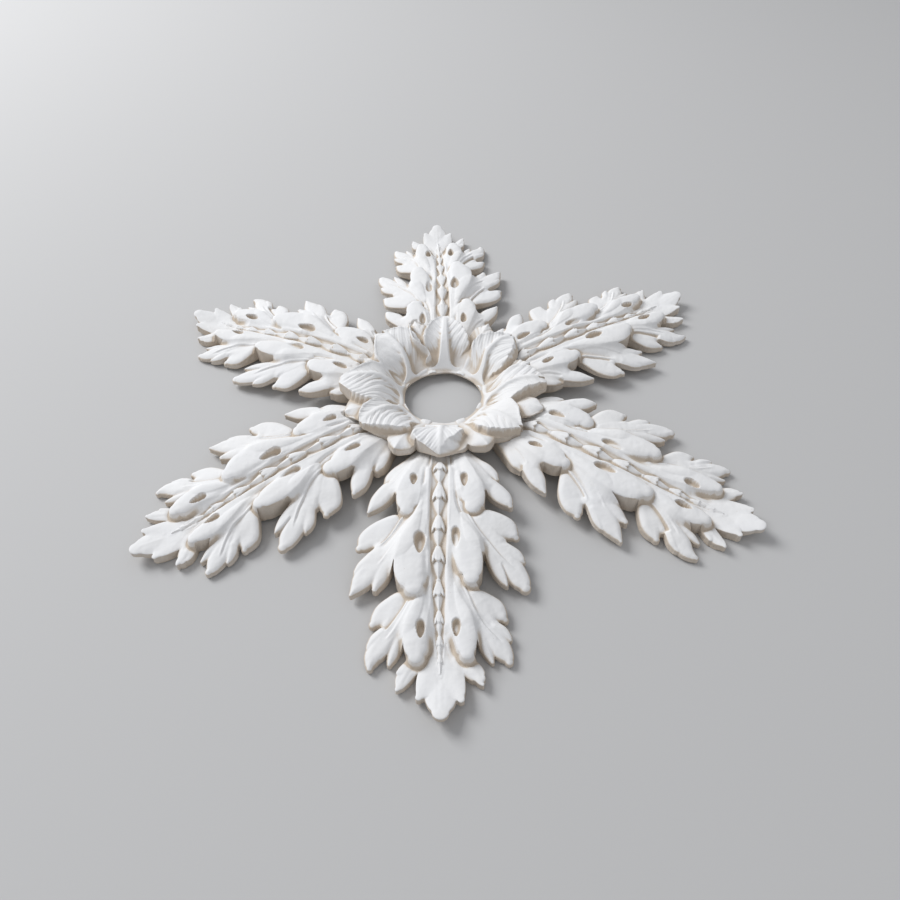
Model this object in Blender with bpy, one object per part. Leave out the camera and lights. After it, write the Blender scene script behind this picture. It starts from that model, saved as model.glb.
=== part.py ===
"""Ceiling rose in cast plaster: a dished centre ring of carved leaves with six
identical acanthus leaf castings radiating from under it. It lies face up, its
flat backs at z = 0, the centre of the hole near the origin."""
from math import cos, pi, radians, sin

import bpy
import numpy as np
from mathutils import Vector
from mathutils.geometry import delaunay_2d_cdt

MM = 0.001

# Layout. Each leaf is laid by hand, so its direction and its distance vary a little.
LEAF_LAID = (  # direction in degrees, slide outwards in mm
    (268.07, 11.6),
    (327.30, 3.8),
    (29.06, -2.1),
    (89.94, -11.4),
    (152.30, -6.9),
    (213.34, 3.0),
)
ORIGIN_Y = -11.4  # from the centre of the outline to the centre line of the ring, mm

# Leaf casting, mm, its root at the left, its tip at the right.
# Lobes, each a domed finger swept along a curve: dome, power of the dome, vein, and rows of
# (out, aside, half width, crest height)
MIDDLE_LOBES = {
    "web": (0.10, 2.0, 0, (
        (84, 0, 34, 12), (100, 0, 40, 14), (125, 0, 40, 21), (150, 0, 36, 28.5), (200, 0, 34, 31),
        (250, 0, 28, 30.5), (300, 0, 24, 25.5), (345, 0, 22, 19), (395, 0, 22, 13),
        (430, 0, 16, 12.5))),
    "end": (0.20, 2.2, 0.15, (
        (375, -1, 7, 16), (405, -1, 13, 13), (430, 0, 18.5, 14), (447, 0, 18.5, 17.5),
        (459, 0, 14.5, 20), (466, 0, 9.5, 21.5))),
    "stem": (0.10, 6.0, 0, (
        (95, -3, 11, 20), (130, -3.2, 12, 30), (155, -3.5, 12.5, 38), (200, -4, 12.5, 40),
        (250, -4.5, 12, 38), (300, -4, 10, 30), (350, -3, 8, 21), (400, -1.5, 5.5, 15),
        (425, -1, 3, 14))),
}
LEFT_LOBES = {
    "end side": (0.26, 2.2, 0.3, (
        (380, 8, 4, 16), (392, 13, 6, 15), (406, 22, 10, 14), (416, 34, 11, 13.5),
        (423, 41, 9.5, 13), (427, 44, 5.5, 13))),
    "end side tooth": (0.26, 2.2, 0, ((420, 36, 6, 13), (431, 43.5, 3.5, 13), (434, 46, 2, 13))),
    "end shoulder": (0.18, 2.2, 0, (
        (412, 9, 14, 13), (430, 14.5, 12.5, 14.5), (445, 19, 8.5, 16.5), (452, 22, 4, 17.5))),
}
RIGHT_LOBES = {
    "end side": (0.26, 2.2, 0.3, (
        (380, 11, 4, 16), (392, 17, 6, 15), (406, 27, 9.5, 14), (418, 37, 10, 13.5),
        (428, 42.5, 8.5, 13), (435, 45.5, 5.5, 13), (439, 48, 2.5, 13))),
    "end side tooth": (0.26, 2.2, 0, (
        (412, 36, 7, 13.5), (418, 44.5, 4.5, 13), (420, 47.5, 2.5, 13))),
    "end shoulder": (0.18, 2.2, 0, (
        (412, 9, 14, 13), (430, 15, 12.5, 14.5), (443, 20, 8, 16.5), (450, 24, 3.5, 17.5))),
}
# Sheets, each several fingers run together: rows as above
LEFT_SHEETS = {
    "basal": {
        "side": (
            (98, 30, 6, 18), (122, 45, 8, 25), (138, 58, 9, 29.5), (150, 67, 8.5, 29.5),
            (157, 71.5, 5, 29)),
        "long": (
            (100, 24, 6, 19), (128, 38, 9, 29), (150, 50, 10, 33), (165, 59.5, 10, 34),
            (180, 71, 12.5, 33), (190, 80, 11.5, 32), (198, 86, 7.5, 30.5), (202, 88.5, 4, 29.5)),
        "web": ((106, 27, 6, 20), (130, 42, 9, 29), (148, 54, 8, 32.5), (158, 61, 5.5, 32.5)),
        "fillet": ((120, 30, 8, 26), (145, 37, 11, 34.5), (165, 44, 12, 37), (180, 49, 8, 35.5)),
    },
    "middle": {
        "side": (
            (155, 21.5, 2.5, 37), (190, 24.5, 3.5, 38), (208, 30, 6, 37), (215, 40, 9, 35.5),
            (221, 54, 13, 33), (229, 70, 16, 30.5), (237, 82, 16.5, 27), (244, 90, 9.5, 24.5),
            (247, 93, 5, 23.5)),
        "long": (
            (160, 20, 2.5, 37), (200, 24.5, 3.5, 38.5), (222, 35, 6.5, 36.5), (240, 48, 10, 33),
            (262, 65, 14, 29), (284, 81, 15, 24.5), (298, 91, 14, 21), (309, 98, 11, 18.5),
            (315, 101, 7, 17.5)),
        "long tooth": ((262, 76, 8, 27), (272, 90, 9, 24), (279, 98, 6, 22), (282, 101, 2.5, 21)),
        "long lower": (
            (262, 58, 7, 31), (280, 64, 9, 28), (296, 70.5, 8.5, 24.5), (308, 76, 5.5, 21.5),
            (313, 78.5, 2.5, 20.5)),
        "web": ((212, 31, 5, 36.5), (228, 44, 10, 34.5), (243, 57, 14, 31.5), (256, 70, 11, 28.5)),
        "fillet": ((222, 30, 6, 38.5), (240, 36, 10, 39.5), (258, 42, 12, 38.5), (270, 47, 8, 36)),
    },
    "upper": {
        "side": (
            (290, 15, 2.5, 31), (308, 20, 4, 30), (320, 28, 6.5, 28), (327, 38, 9, 25.5),
            (335, 50, 12, 22), (344, 62, 14, 18), (352, 70.5, 9.5, 15.5), (356, 74.5, 4.5, 14)),
        "long": (
            (290, 15, 2.5, 30.5), (318, 21, 4, 28.5), (334, 28, 6.5, 26.5), (348, 36, 8.5, 24),
            (362, 46, 10.5, 21), (378, 58, 12.5, 17.5), (392, 69, 12, 14), (401, 75, 8.5, 12),
            (406, 77, 5, 11.5)),
        "long tooth": (
            (366, 62, 7, 18.5), (372, 71, 7, 16.5), (378, 77.5, 4.5, 14.5), (381, 79.5, 2.5, 14)),
        "long lower": (
            (360, 41, 7, 22), (376, 46, 8, 18), (392, 52, 7, 14.5), (402, 56, 4.5, 12.5),
            (407, 58, 2.5, 12)),
        "web": (
            (314, 24, 4, 28), (328, 34, 8, 26), (342, 45, 11, 22.5), (354, 54, 10, 19.5),
            (362, 60, 7, 18)),
        "fillet": (
            (318, 19, 4, 28), (336, 25, 8, 27.5), (352, 31, 10, 27), (366, 35, 8, 24.5),
            (374, 38, 5, 22.5)),
    },
}
RIGHT_SHEETS = {
    "basal": {
        "side": (
            (100, 33, 7, 18), (125, 47, 8.5, 25), (143, 60, 9.5, 29), (155, 69.5, 8.5, 29),
            (162, 74.5, 5, 28), (165, 77, 2.5, 28)),
        "long": (
            (106, 30, 6, 19), (135, 44, 9, 29), (155, 56, 10, 33), (170, 66, 11, 34),
            (184, 76, 12.5, 32.5), (195, 84.5, 11, 31), (204, 91, 6.5, 29.5), (210, 95, 2.5, 29)),
        "web": ((110, 32, 6, 20), (135, 47, 9, 30), (152, 59, 8, 33), (163, 67, 5.5, 32.5)),
        "fillet": ((124, 34, 8, 26), (148, 43, 11, 34.5), (168, 50, 12, 37), (184, 54, 8, 35.5)),
    },
    "middle": {
        "side": (
            (200, 27, 3, 36), (214, 33, 6, 36), (222, 46, 9.5, 34), (229, 62, 13, 31.5),
            (239, 79, 16, 28), (250, 92.5, 15, 25), (258, 100, 9.5, 23), (261, 103.5, 5, 22.5)),
        "long": (
            (204, 28, 3.5, 37), (226, 38, 6.5, 35), (246, 53, 10, 32.5), (268, 69.5, 14, 29),
            (290, 86.5, 15.5, 24.5), (306, 97, 13, 21), (316, 103.5, 8, 19), (324, 109, 2.5, 18)),
        "long tooth": (
            (275, 86, 7, 27), (287, 98, 7, 23.5), (294, 104.5, 4, 21.5), (297, 106, 2, 21)),
        "long lower": (
            (262, 59, 7, 31), (282, 66.5, 9.5, 28), (300, 73, 10, 24.5), (312, 78, 7, 21.5),
            (318, 80, 4, 21)),
        "web": ((216, 36, 6, 35), (230, 49, 11, 33), (246, 63, 14, 30), (260, 75, 10, 28)),
        "fillet": (
            (220, 33, 7, 38.5), (240, 40, 12, 39.5), (260, 47, 14, 38.5), (275, 52, 10, 36.5),
            (283, 56, 5, 34)),
    },
    "upper": {
        "side": (
            (298, 20, 3, 31), (318, 28, 6, 29), (328, 41, 9, 26), (337, 54, 12, 22.5),
            (348, 67, 13.5, 18.5), (356, 75.5, 10, 15.5), (361, 80.5, 5, 14)),
        "long": (
            (298, 20, 3, 31), (322, 27, 4.5, 28.5), (342, 36, 7, 26.5), (358, 46, 9, 23.5),
            (374, 57, 11, 20), (388, 69, 12.5, 16.5), (399, 77, 11, 13.5), (408, 80, 7, 12),
            (413, 80.5, 4, 11.5)),
        "long tooth": (
            (372, 66, 6, 20), (381, 76, 7, 17), (387, 82, 4.5, 14.5), (390, 84, 2.5, 14)),
        "long lower": (
            (368, 44, 6.5, 22), (384, 49, 7.5, 18), (398, 54.5, 6.5, 14.5), (406, 57.5, 4.5, 12.5),
            (409, 58.5, 3, 12)),
        "web": ((322, 28, 5, 27), (336, 40, 9, 25), (350, 54, 11, 21.5), (362, 63, 8, 18.5)),
        "fillet": (
            (324, 25, 5, 28), (344, 31, 9, 27.5), (362, 37, 10, 27), (375, 41, 7, 24.5),
            (382, 45, 4, 22.5)),
    },
}
# Bulbs, one on each sheet next to the stem: dome, rows as above
LEFT_BULBS = {
    "basal": (0.30, (
        (96, 17, 5, 20), (130, 25, 9, 33), (160, 33, 12, 41), (183, 39, 15, 43),
        (200, 41, 14.5, 42.5), (209, 39.5, 10, 41.5))),
    "middle": (0.26, (
        (150, 9.5, 3.5, 38), (204, 11, 5, 39.5), (232, 16.5, 9, 39), (248, 23, 13, 39.5),
        (266, 29, 16.5, 40.5), (288, 33.5, 16.5, 40), (303, 36, 13.5, 39), (311, 36, 9, 38))),
    "upper": (0.30, (
        (250, 7.5, 3, 36), (300, 8.5, 4, 31), (330, 13, 7, 28), (348, 18.5, 10.5, 27.5),
        (364, 24, 12.5, 28), (382, 27.5, 13, 27.5), (396, 29, 10.5, 26.5), (402, 29.5, 7.5, 26))),
}
RIGHT_BULBS = {
    "basal": (0.34, (
        (104, 23, 6, 20), (135, 31, 9, 33), (165, 39, 12, 41), (188, 43, 15, 43),
        (204, 45, 14, 42), (213, 45, 8, 41))),
    "middle": (0.30, (
        (150, 17.5, 3.5, 38), (204, 22, 6, 39.5), (232, 28, 9, 39.5), (250, 33, 13, 40),
        (270, 36.5, 18, 40.5), (292, 37, 20.5, 40), (308, 36, 19.5, 39.5), (318, 34, 15, 38.5),
        (324, 33, 10, 38))),
    "upper": (0.32, (
        (262, 16, 3, 36), (300, 15, 4, 31), (330, 19, 7, 28), (352, 25, 10.5, 27.5),
        (370, 29, 13, 28), (386, 29.5, 13.5, 27.5), (398, 28.5, 12.5, 26), (405, 28, 8, 25))),
}
FOLDS = (  # sharp folds in the sheets: side, rows of (out, aside), depth and width of the
    # trough beyond the fold, height of the ridge on it
    (1, ((160, 19), (184, 21), (206, 29), (223, 35.5), (240, 43.5), (252, 51.5), (262, 59.5),
         (274, 68.5), (284, 78), (294, 89)), 1.4, 3.0, 1.1),
    (1, ((290, 16), (312, 24), (333, 33), (350, 39.5), (362, 46), (372, 54), (380, 62),
         (388, 70)), 1.3, 3.0, 1.0),
    (1, ((286, 71), (297, 75.5), (307, 78.5), (318, 80)), 1.6, 2.0, 0.9),
    (1, ((148, 42), (162, 45), (176, 49.5), (186, 52)), 1.2, 2.5, 0.6),
    (-1, ((212, 46), (226, 52.5), (240, 60), (252, 68), (264, 79.5)), 3.2, 9.0, 1.2),
    (-1, ((222, 38.5), (236, 43.5), (249, 50), (262, 58), (275, 67), (290, 79)), 1.0, 3.0, 0.9),
    (-1, ((335, 39), (345, 44), (355, 50.5), (365, 58), (374, 65)), 3.4, 6.5, 1.0),
    (-1, ((332, 34), (346, 40), (360, 47), (374, 56), (384, 64)), 0.9, 3.0, 0.8),
    (-1, ((140, 48), (152, 54), (163, 62), (171, 70)), 1.4, 3.0, 0.8))
VALLEYS = (  # rounded valleys: side, rows of (out, aside, half width, depth)
    (1, ((214, 25, 3, 0), (226, 28.5, 4.5, 1.6), (240, 34, 6, 1.8), (254, 40, 6.5, 1.0),
         (268, 45, 5, 0))),
    (1, ((296, 12, 3, 0), (312, 17, 3.5, 1.6), (326, 22, 4.5, 1.9), (340, 28, 5, 1.5),
         (354, 34, 4, 0))),
    (-1, ((204, 33, 3, 0), (219, 42, 3.6, 3.0), (235, 51.5, 4.2, 3.4), (248, 61, 4.2, 3.2),
          (258, 69, 4, 2.4), (268, 76, 3, 0))))
STEM_VALLEYS = (  # the same, between the stem and the bulbs
    (1, ((252, 15, 3, 0), (264, 14.5, 4.6, 2.6), (282, 14, 4.6, 2.8), (302, 14, 4.2, 2.4),
         (318, 15.5, 3.6, 1.2), (328, 17, 3, 0))),
    (1, ((372, 15, 3, 0), (384, 13, 4, 1.6), (398, 12, 4, 1.6), (412, 12, 4, 0))),
    (-1, ((268, 18, 3, 0), (278, 18.5, 3.5, 2.5), (296, 18, 3.5, 2.6), (316, 17, 4, 1.6),
          (330, 16, 4, 1.6), (346, 14.5, 4, 2.0), (362, 14, 3, 0))),
    (-1, ((138, 22, 2, 0), (150, 23, 2.4, 2.4), (170, 24, 2.4, 2.4), (180, 26, 2, 0))))
FINGER_DOME = 0.05  # of the fingers in a sheet
FINGER_SHARE = 1.3  # half widths from its line at which a finger's share of a sheet ends
FINGERS_SOFT, SHEETS_SOFT = 3.0, 4.0  # softness of the notches between fingers, and sheets
ROLL, ROLL_OVER, ROLL_POWER = 3.4, 9.0, 2.2  # fall of a sheet at its rim, width, steepness
MOAT, MOAT_OVER = 5.0, 10.0  # how far the leaf dips round the foot of a bulb's tip, and its width
BULB_POWER = 3.0  # of the bulbs' domes
BODY_DOME = 0.25  # share of its dome that a bulb's body has, where it is merged
BODY_SKIRT, TIP_SKIRT = 1.1, 3.0  # steepness beside a bulb's body, and round its tip
MERGED_TO, MERGED_OVER = 0.55, 0.25  # share of a bulb's length that runs on into the sheet
BULB_TIP, BULB_TIP_OVER = 0.58, 0.22  # share of its length at which a bulb's tip begins
BULB_SOFT, BULB_TIP_SOFT = 12.0, 1.2  # softness of the valley beside a bulb, and round its tip
FOLD_SHARP, FOLD_ENDS = 1.8, 0.12  # width of a fold's steep side, share in which it dies out
LEAF_ROOT = 79.0  # inner end of the casting, from its own centre
LEAF_END, LEAF_ASIDE = 482.0, 128.0  # limits that the whole leaf lies within
LEAF_MITRE = 27.1  # half angle that the root keeps within, degrees
FALL = 2.2  # steepness beyond a lobe's edge
AXIS = ((80, -3), (160, -3.5), (250, -4.5), (340, -3), (400, -1.5), (470, 0))  # of the stem
EYES = (  # out, aside, half length, half width, depth, share of it lost towards the tip
    (168, 29, 13, 5, 7, 0.3), (258, 17.5, 17, 5.5, 8, 0.95), (372, 17.5, 11.5, 5.2, 8, 0.1),
    (167, -37.5, 11, 4.8, 8, 0.3), (265, -27, 16.5, 7.2, 10, 0.4), (374, -23.5, 12, 5.2, 10, 0.1))
CHANNEL = ((110, 10, 2), (150, 12, 5.5), (200, 12.5, 6.5), (260, 11, 6), (300, 9, 5),
           (340, 7.5, 4), (380, 5.5, 2.6), (420, 3, 1), (440, 2, 0))  # half width, depth
HUSKS = (  # mouth, length, half width of the bell flowers on the stem
    (154, 26, 9.6), (203, 31, 9.6), (250, 28, 9.2), (292, 27, 8.4), (334, 23, 7.0),
    (366, 19, 5.6), (392, 16, 4.4), (412, 14, 3.4))
HUSK_SIDE = ((0, 0.3), (0.3, 0.62), (0.65, 0.92), (0.95, 1.0), (1.1, 0.9))  # width along it
HUSK_TOP = ((-0.05, 0.25), (0.25, 0.7), (0.6, 0.95), (0.9, 1.1), (1.0, 1.0))  # height along it
PETALS = ((0, 0.1), (0.35, 0.28), (0.5, 0.55), (0.66, 0.22), (0.85, 0.1), (1.05, 0.6))  # lip
PETAL_GROOVE = 1.2  # between the middle petal and the side ones
BUD, BUD_WIDE = 0.74, 0.92  # length and width of the bud beyond a mouth, against the flower's
BEAD, BEAD_AT = 0.36, 0.72  # radius of the bead, and its place beyond the mouth
CHANNEL_EDGE = 4.0  # width of the channel's sloping side
ARCH = ((84, 0), (115, 2), (150, 12), (180, 18), (205, 18), (250, 11), (300, 6), (340, 2),
        (430, 1), (455, 7), (470, 14))
ARCH_FROM, ARCH_FULL = 14.0, 36.0  # the back is flat this near the stem and arched beyond
EDGE_LIFT = ((205, 0), (245, 5.0), (305, 5.0), (335, 2.5), (395, 2.5), (425, 0))
EDGE_LIFT_FULL = 70.0  # the back rises further from ARCH_FULL to this, towards the lobes' ends
TIP_LIFTS, TIP_LIFT_OVER = 435.0, 22.0  # the tip leaves the flat from here, over this length
VEIN_FROM, VEIN_OVER = 5.0, 4.0  # a lobe narrower than this, as half width, has no vein
VEIN_ENDS = 0.15  # share of a lobe's length in which its vein dies out
EYE_SHARP = 2.0  # steepness of an eye's wall

# Centre ring, mm
HOLE = 58.0  # half width of the hole from side to side
HOLE_X, HOLE_Y = -1.0, 0.9
HOLE_SQUASH = 1.08  # how much less it measures front to back
HOLE_WAVES = ((5, 1.0, 0.7), (9, 2.2, 0.4))  # its unevenness: waves round it, phase, height
RING_ASIDE = 170.0  # limit that the whole ring lies within
COLLAR = 62.0  # where the leaves' flutes begin, from the centre
COLLAR_HALF = 24.0  # half width of a large leaf at the collar
DISH = ((50, 12), (57, 14.2), (61, 18), (67, 24.5), (75, 33), (85, 41.5), (95, 47.5),
        (110, 52), (128, 53.5), (145, 50.5), (153, 47))
WIDTHS_AT = (92, 106, 120, 133, 145)
BIG_LEAVES = (  # direction, reach, droop of the tip, breadth of the rib, its bends; then half
    # widths, and depth and spacing of the flutes and share of the pocket, for left and right
    (87, 152, 0, 1.0, (0, 0, 0, 0, 0),
     ((32, 32, 28, 22, 12), (38, 35, 28, 20, 8)), (1.5, 1.7), (11, 12), (1.0, 0.9)),
    (40, 148, 0, 0.42, (-10, -4, 6, 8, 3),
     ((36, 38, 31, 20, 8), (38, 38, 33, 25, 9)), (1.4, 1.3), (13, 12), (0.75, 0.6)),
    (357, 153, 0, 0.3, (-6, -5, 1, 6, 7),
     ((30, 34, 32, 25, 13), (40, 36, 26, 17, 8)), (1.5, 0.7), (12, 14), (0.6, 0.45)),
    (318, 146, 0, 0.25, (0, 0, 0, -2, -5),
     ((36, 31, 24, 11, 1), (40, 42, 36, 25, 7)), (0.5, 1.5), (14, 12), (0.35, 0.35)),
    (266.5, 141, 9, 0.16, (0, 0, 0, 0, 0),
     ((38, 39, 36, 19, 0), (35, 38.5, 31.5, 15, 0)), (1.0, 1.4), (15, 15), (0.25, 0.3)),
    (216, 143, 0, 0.3, (-15, -13, -11, -8, 0),
     ((45, 43, 33, 18, 0), (30, 31, 28, 20, 4)), (1.7, 1.1), (11, 13), (0.35, 0.35)),
    (175.5, 154, 0, 0.4, (-5, -11, -13, -8, -4),
     ((40, 42, 38, 30, 18), (38, 38, 29, 19, 11)), (1.8, 0.8), (11, 13), (0.5, 0.6)),
    (133, 152, 0, 0.42, (11, 0, -6, -9, -12),
     ((38, 37, 29, 18, 7), (42, 43, 42, 36, 19)), (1.2, 1.6), (12, 12), (0.6, 0.9)))
CUTS = {  # leaf and side: half widths of the top where the margin is cut away steeply
    (1, 1): (31, 28, 22.5, 15, 3), (2, 1): (35, 27.5, 15, 10.5, 5), (3, 1): (35, 34.5, 28.5, 19, 5),
    (4, 0): (30, 22, 8, 2, 0), (5, 0): (40, 35, 22.5, 11.5, 0)}
BENDS_AT = (62, 78, 97, 122, 150)
CUT_FROM = 78.0  # the cut margins begin this far out
WALL_FOOT = 2.5  # foot of a cut margin, above the underside
RAGGED = ((2.7, 1.3, 0.9), (1.3, 1.0, 0.6))  # a cut margin's waves: length, phase, height
DROOPS, DROOP_OVER = 108.0, 36.0  # a drooping tip begins this far out, over this length
FLUTE_SPREAD, FLUTE_BEND = 0.30, 0.0032  # how fast the flutes run outwards, and curve
FLANK = 3.2  # width of the slope from a rib into the pocket beside it
RIM_LINE, RIM_LINE_IN, RIM_LINE_WIDE = 0.7, 3.0, 1.1  # raised line inside a leaf's margin
CURL_DOME = 3.0
CURL = (  # rolled margin beside the far leaf: x, y, half width, crest height
    (-51, 131, 2.0, 56), (-45, 98, 1.8, 53.5), (-33, 86, 1.6, 48.5), (-23, 80, 1.6, 43),
    (-19, 74, 1.8, 37), (-24, 69, 1.8, 31))
SMALL_LEAVES = (  # direction, reach, crest height, flute depth, half width
    (60, 153, 46, 1.4, 18), (16, 138, 46, 1.2, 18), (337.5, 153, 47, 0.3, 21),
    (295, 137, 45, 0.2, 20), (241, 143, 45, 0.3, 21), (200, 151, 44, 0.2, 26),
    (154, 133, 45, 0.8, 18), (106, 150, 46, 1.4, 18))
SMALL_END, SMALL_FROM = 147.0, 90.0  # a small leaf's tip, and where its own reach tells
SMALL_WIDTH = ((62, 0.3), (72, 0.65), (92, 0.95), (122, 1), (133, 0.9), (142, 0.5), (148, 0.1))
SMALL_DISH = ((58, 17), (62, 15.5), (68, 18), (78, 24.5), (90, 31), (102, 36))
SMALL_CROWN = ((117, -4), (135, 0), (150, 0))  # against its crest height
SMALL_SLOPE = 5.5  # fall from its rib to its sides
SMALL_FLUTES = 8.5  # their spacing
FLOOR_DISH = ((50, 13), (62, 15), (70, 18), (80, 24), (95, 32), (112, 37), (130, 39))
FLOOR_REACH = 112.0  # the dish that the leaves grow from
RIB = ((56, 30), (60, 20), (64, 12), (68, 8.5), (78, 6.0), (92, 4.4), (110, 2.8), (150, 1))
COLLAR_FLARE = ((56, 22), (60, 14), (66, 6), (74, 1.5), (84, 0))  # of every rib, at its foot
POCKET = ((60, 0), (63, 4), (67, 11), (73, 14), (82, 13.5), (92, 10), (110, 6), (130, 3), (150, 1))
MARGIN = ((70, 0), (85, 3.5), (100, 6.5), (122, 5.5), (150, 2))
UNDER_CONE = ((50, 10.4), (57, 11.6), (64, 12.2), (75, 13.5), (110, 21.5), (135, 28), (160, 31))
UNDER_SADDLE = ((60, 0), (75, 1.5), (100, 4), (128, 8), (150, 11.5), (165, 12))
SADDLE_HALF = 32.0  # half width of the room for each leaf's stem
RING_THIN = 2.6  # least thickness of the ring
CLEAR, CLEAR_ASIDE = 2.4, 4.2  # space under the ring over a leaf's stem, and more beside it
STEM_HALF, STEM_BLEND = 26.0, 14.0  # half width of that stem, and of the change beside it

# Fineness of the solids
GRID = 1.5
OUTLINE_TOLERANCE = 0.8
OUTLINE_LEAST = 1.5  # least distance between neighbours on an outline
SAMPLE_MARGIN = 1.2  # the relief is compared this far inside the outline
LEAF_TOP_POINTS = 250
LEAF_ROOT_POINTS = 266
RING_TOP_POINTS = 480
POINTS_PER_ROUND = 24
POINTS_APART = 2.2


def soft(x, table):
    """Smooth curve through a table of (position, value)."""
    xs, ys = np.array(table, float).T
    step = np.diff(xs)
    slope = np.diff(ys) / step
    tangent = np.concatenate([slope[:1], np.zeros(len(xs) - 2), slope[-1:]])
    same = slope[:-1] * slope[1:] > 0
    total = np.where(same, slope[:-1] + slope[1:], 1)
    tangent[1:-1] = np.where(same, 2 * slope[:-1] * slope[1:] / total, 0)
    x = np.clip(x, xs[0], xs[-1])
    i = np.clip(np.searchsorted(xs, x, side="right") - 1, 0, len(xs) - 2)
    t = (x - xs[i]) / step[i]
    value = ys[i] * (1 + 2 * t) * (1 - t) ** 2 + ys[i + 1] * t * t * (3 - 2 * t)
    bend = tangent[i] * t * (1 - t) ** 2 + tangent[i + 1] * t * t * (t - 1)
    return value + step[i] * bend


def ramp(x, start, over):
    """From 0 at the start to 1 after the given length."""
    return np.clip((x - start) / over, 0, 1)


def bump(x, half):
    """Rounded ridge of height 1."""
    return np.exp(-((x / half) ** 2))


def spline(rows, count):
    """Rows interpolated along a smooth curve."""
    a = np.array(rows, float)
    if len(a) == 2:
        t = np.linspace(0, 1, count)[:, None]
        return a[0] * (1 - t) + a[1] * t
    q = np.vstack([2 * a[0] - a[1], a, 2 * a[-1] - a[-2]])
    per = max(2, -(-count // (len(a) - 1)))
    t = (np.arange(per) / per)[:, None]
    out = []
    for p0, p1, p2, p3 in zip(q[:-3], q[1:-2], q[2:-1], q[3:]):
        square = 2 * p0 - 5 * p1 + 4 * p2 - p3
        cube = -p0 + 3 * p1 - 3 * p2 + p3
        out.append(0.5 * (2 * p1 + (p2 - p0) * t + square * t**2 + cube * t**3))
    return np.vstack(out + [a[-1:]])


def sweep(x, y, rows):
    """Along a curve: distance from it, half width, crest height, and share of the way."""
    c = spline(rows, 30)
    last = len(c) - 2
    near = np.full(x.shape, 1e9)
    width, crest, along = (np.ones(x.shape) for _ in range(3))
    for i in range(last + 1):
        (x0, y0, w0, z0), (x1, y1, w1, z1) = c[i], c[i + 1]
        length = (x1 - x0) ** 2 + (y1 - y0) ** 2 + 1e-9
        raw = ((x - x0) * (x1 - x0) + (y - y0) * (y1 - y0)) / length
        t = np.clip(raw, 0, 1)
        d = np.hypot(x - x0 - t * (x1 - x0), y - y0 - t * (y1 - y0))
        over = 0.9 * w1 / length**0.5 if i == last else 0
        closer = d < near
        near = np.where(closer, d, near)
        width = np.where(closer, w0 + t * (w1 - w0), width)
        crest = np.where(closer, z0 + np.clip(raw, 0, 1 + over) * (z1 - z0), crest)
        along = np.where(closer, (i + t) / (last + 1), along)
    return near, width, crest, along


def vein_relief(near, width, along):
    """Fine raised vein between two grooves along the middle of a lobe."""
    fade = ramp(width, VEIN_FROM, VEIN_OVER) * ramp(1 - along, 0, VEIN_ENDS)
    return fade * (0.8 * bump(near, 1.4) - bump(near - 3.4, 1.3))


def lobe(x, y, dome, power, vein, rows):
    """Height of one domed lobe, and distance outside its edge."""
    near, width, crest, along = sweep(x, y, rows)
    high = crest - dome * width * np.minimum(near / width, 1) ** power
    high += vein * vein_relief(near, width, along)
    return high - FALL * np.maximum(near - width, 0), near - width


def bulb(x, y, dome, rows):
    """Height of one bulb, distance outside its edge, and how much it is the bulb's tip."""
    near, width, crest, along = sweep(x, y, rows)
    free = ramp(along, MERGED_TO, MERGED_OVER)
    dome *= BODY_DOME + (1 - BODY_DOME) * free
    high = crest - dome * width * np.minimum(near / width, 1) ** BULB_POWER
    high -= (BODY_SKIRT + (TIP_SKIRT - BODY_SKIRT) * free) * np.maximum(near - width, 0)
    return high, near - width, ramp(along, BULB_TIP, BULB_TIP_OVER)


def sheet(x, y, fingers):
    """Fingers of one group as one sheet, rolled down at its rim; distance outside the rim."""
    total, weight = np.zeros(x.shape), np.zeros(x.shape)
    out, soft_out = np.full(x.shape, 1e3), np.full(x.shape, 1e3)
    for rows in fingers:
        near, width, crest, _ = sweep(x, y, rows)
        share = np.maximum(FINGER_SHARE - near / width, 0) ** 2 + 1e-5 * np.exp(-near / 20)
        total += share * (crest - FINGER_DOME * width * np.minimum(near / width, 1) ** 2)
        weight += share
        out = np.minimum(out, near - width)
        soft_out = -blend(-soft_out, width - near, FINGERS_SOFT)
    roll = ROLL * ramp(soft_out, -ROLL_OVER, ROLL_OVER) ** ROLL_POWER
    return total / weight - roll - FALL * np.maximum(out, 0), out


def beside(x, y, rows):
    """Distance from a curve, more than 0 on its left, the share of the way, other columns."""
    c = spline(rows, 24)
    near, side = np.full(x.shape, 1e9), np.ones(x.shape)
    along = np.zeros(x.shape)
    rest = np.zeros((len(c[0]) - 2, *x.shape))
    for i in range(len(c) - 1):
        a, b = c[i], c[i + 1]
        dx, dy = b[:2] - a[:2]
        t = np.clip(((x - a[0]) * dx + (y - a[1]) * dy) / (dx * dx + dy * dy + 1e-9), 0, 1)
        ex, ey = x - a[0] - t * dx, y - a[1] - t * dy
        d = np.hypot(ex, ey)
        closer = d < near
        near = np.where(closer, d, near)
        side = np.where(closer, np.where(dx * ey > dy * ex, 1.0, -1.0), side)
        along = np.where(closer, (i + t) / (len(c) - 1), along)
        for k in range(len(rest)):
            rest[k] = np.where(closer, a[2 + k] + t * (b[2 + k] - a[2 + k]), rest[k])
    return near * side, along, rest


def carved(x, y, folds, valleys):
    """Relief of folds and valleys cut into the leaf."""
    relief = np.zeros(x.shape)
    for side, rows, depth, width, ridge in folds:
        s, t, _ = beside(x, side * y, rows)
        ends = ramp(t, 0, FOLD_ENDS) * ramp(1 - t, 0, FOLD_ENDS)
        beyond = np.exp(-np.maximum(s - FOLD_SHARP, 0) / width)
        relief += ends * (ridge * bump(s + 0.6, 1.5) - depth * ramp(s, 0, FOLD_SHARP) * beyond)
    for side, rows in valleys:
        s, t, (half, depth) = beside(x, side * y, rows)
        relief -= depth * bump(s, half) * (t > 0) * (t < 1)
    return relief


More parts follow.
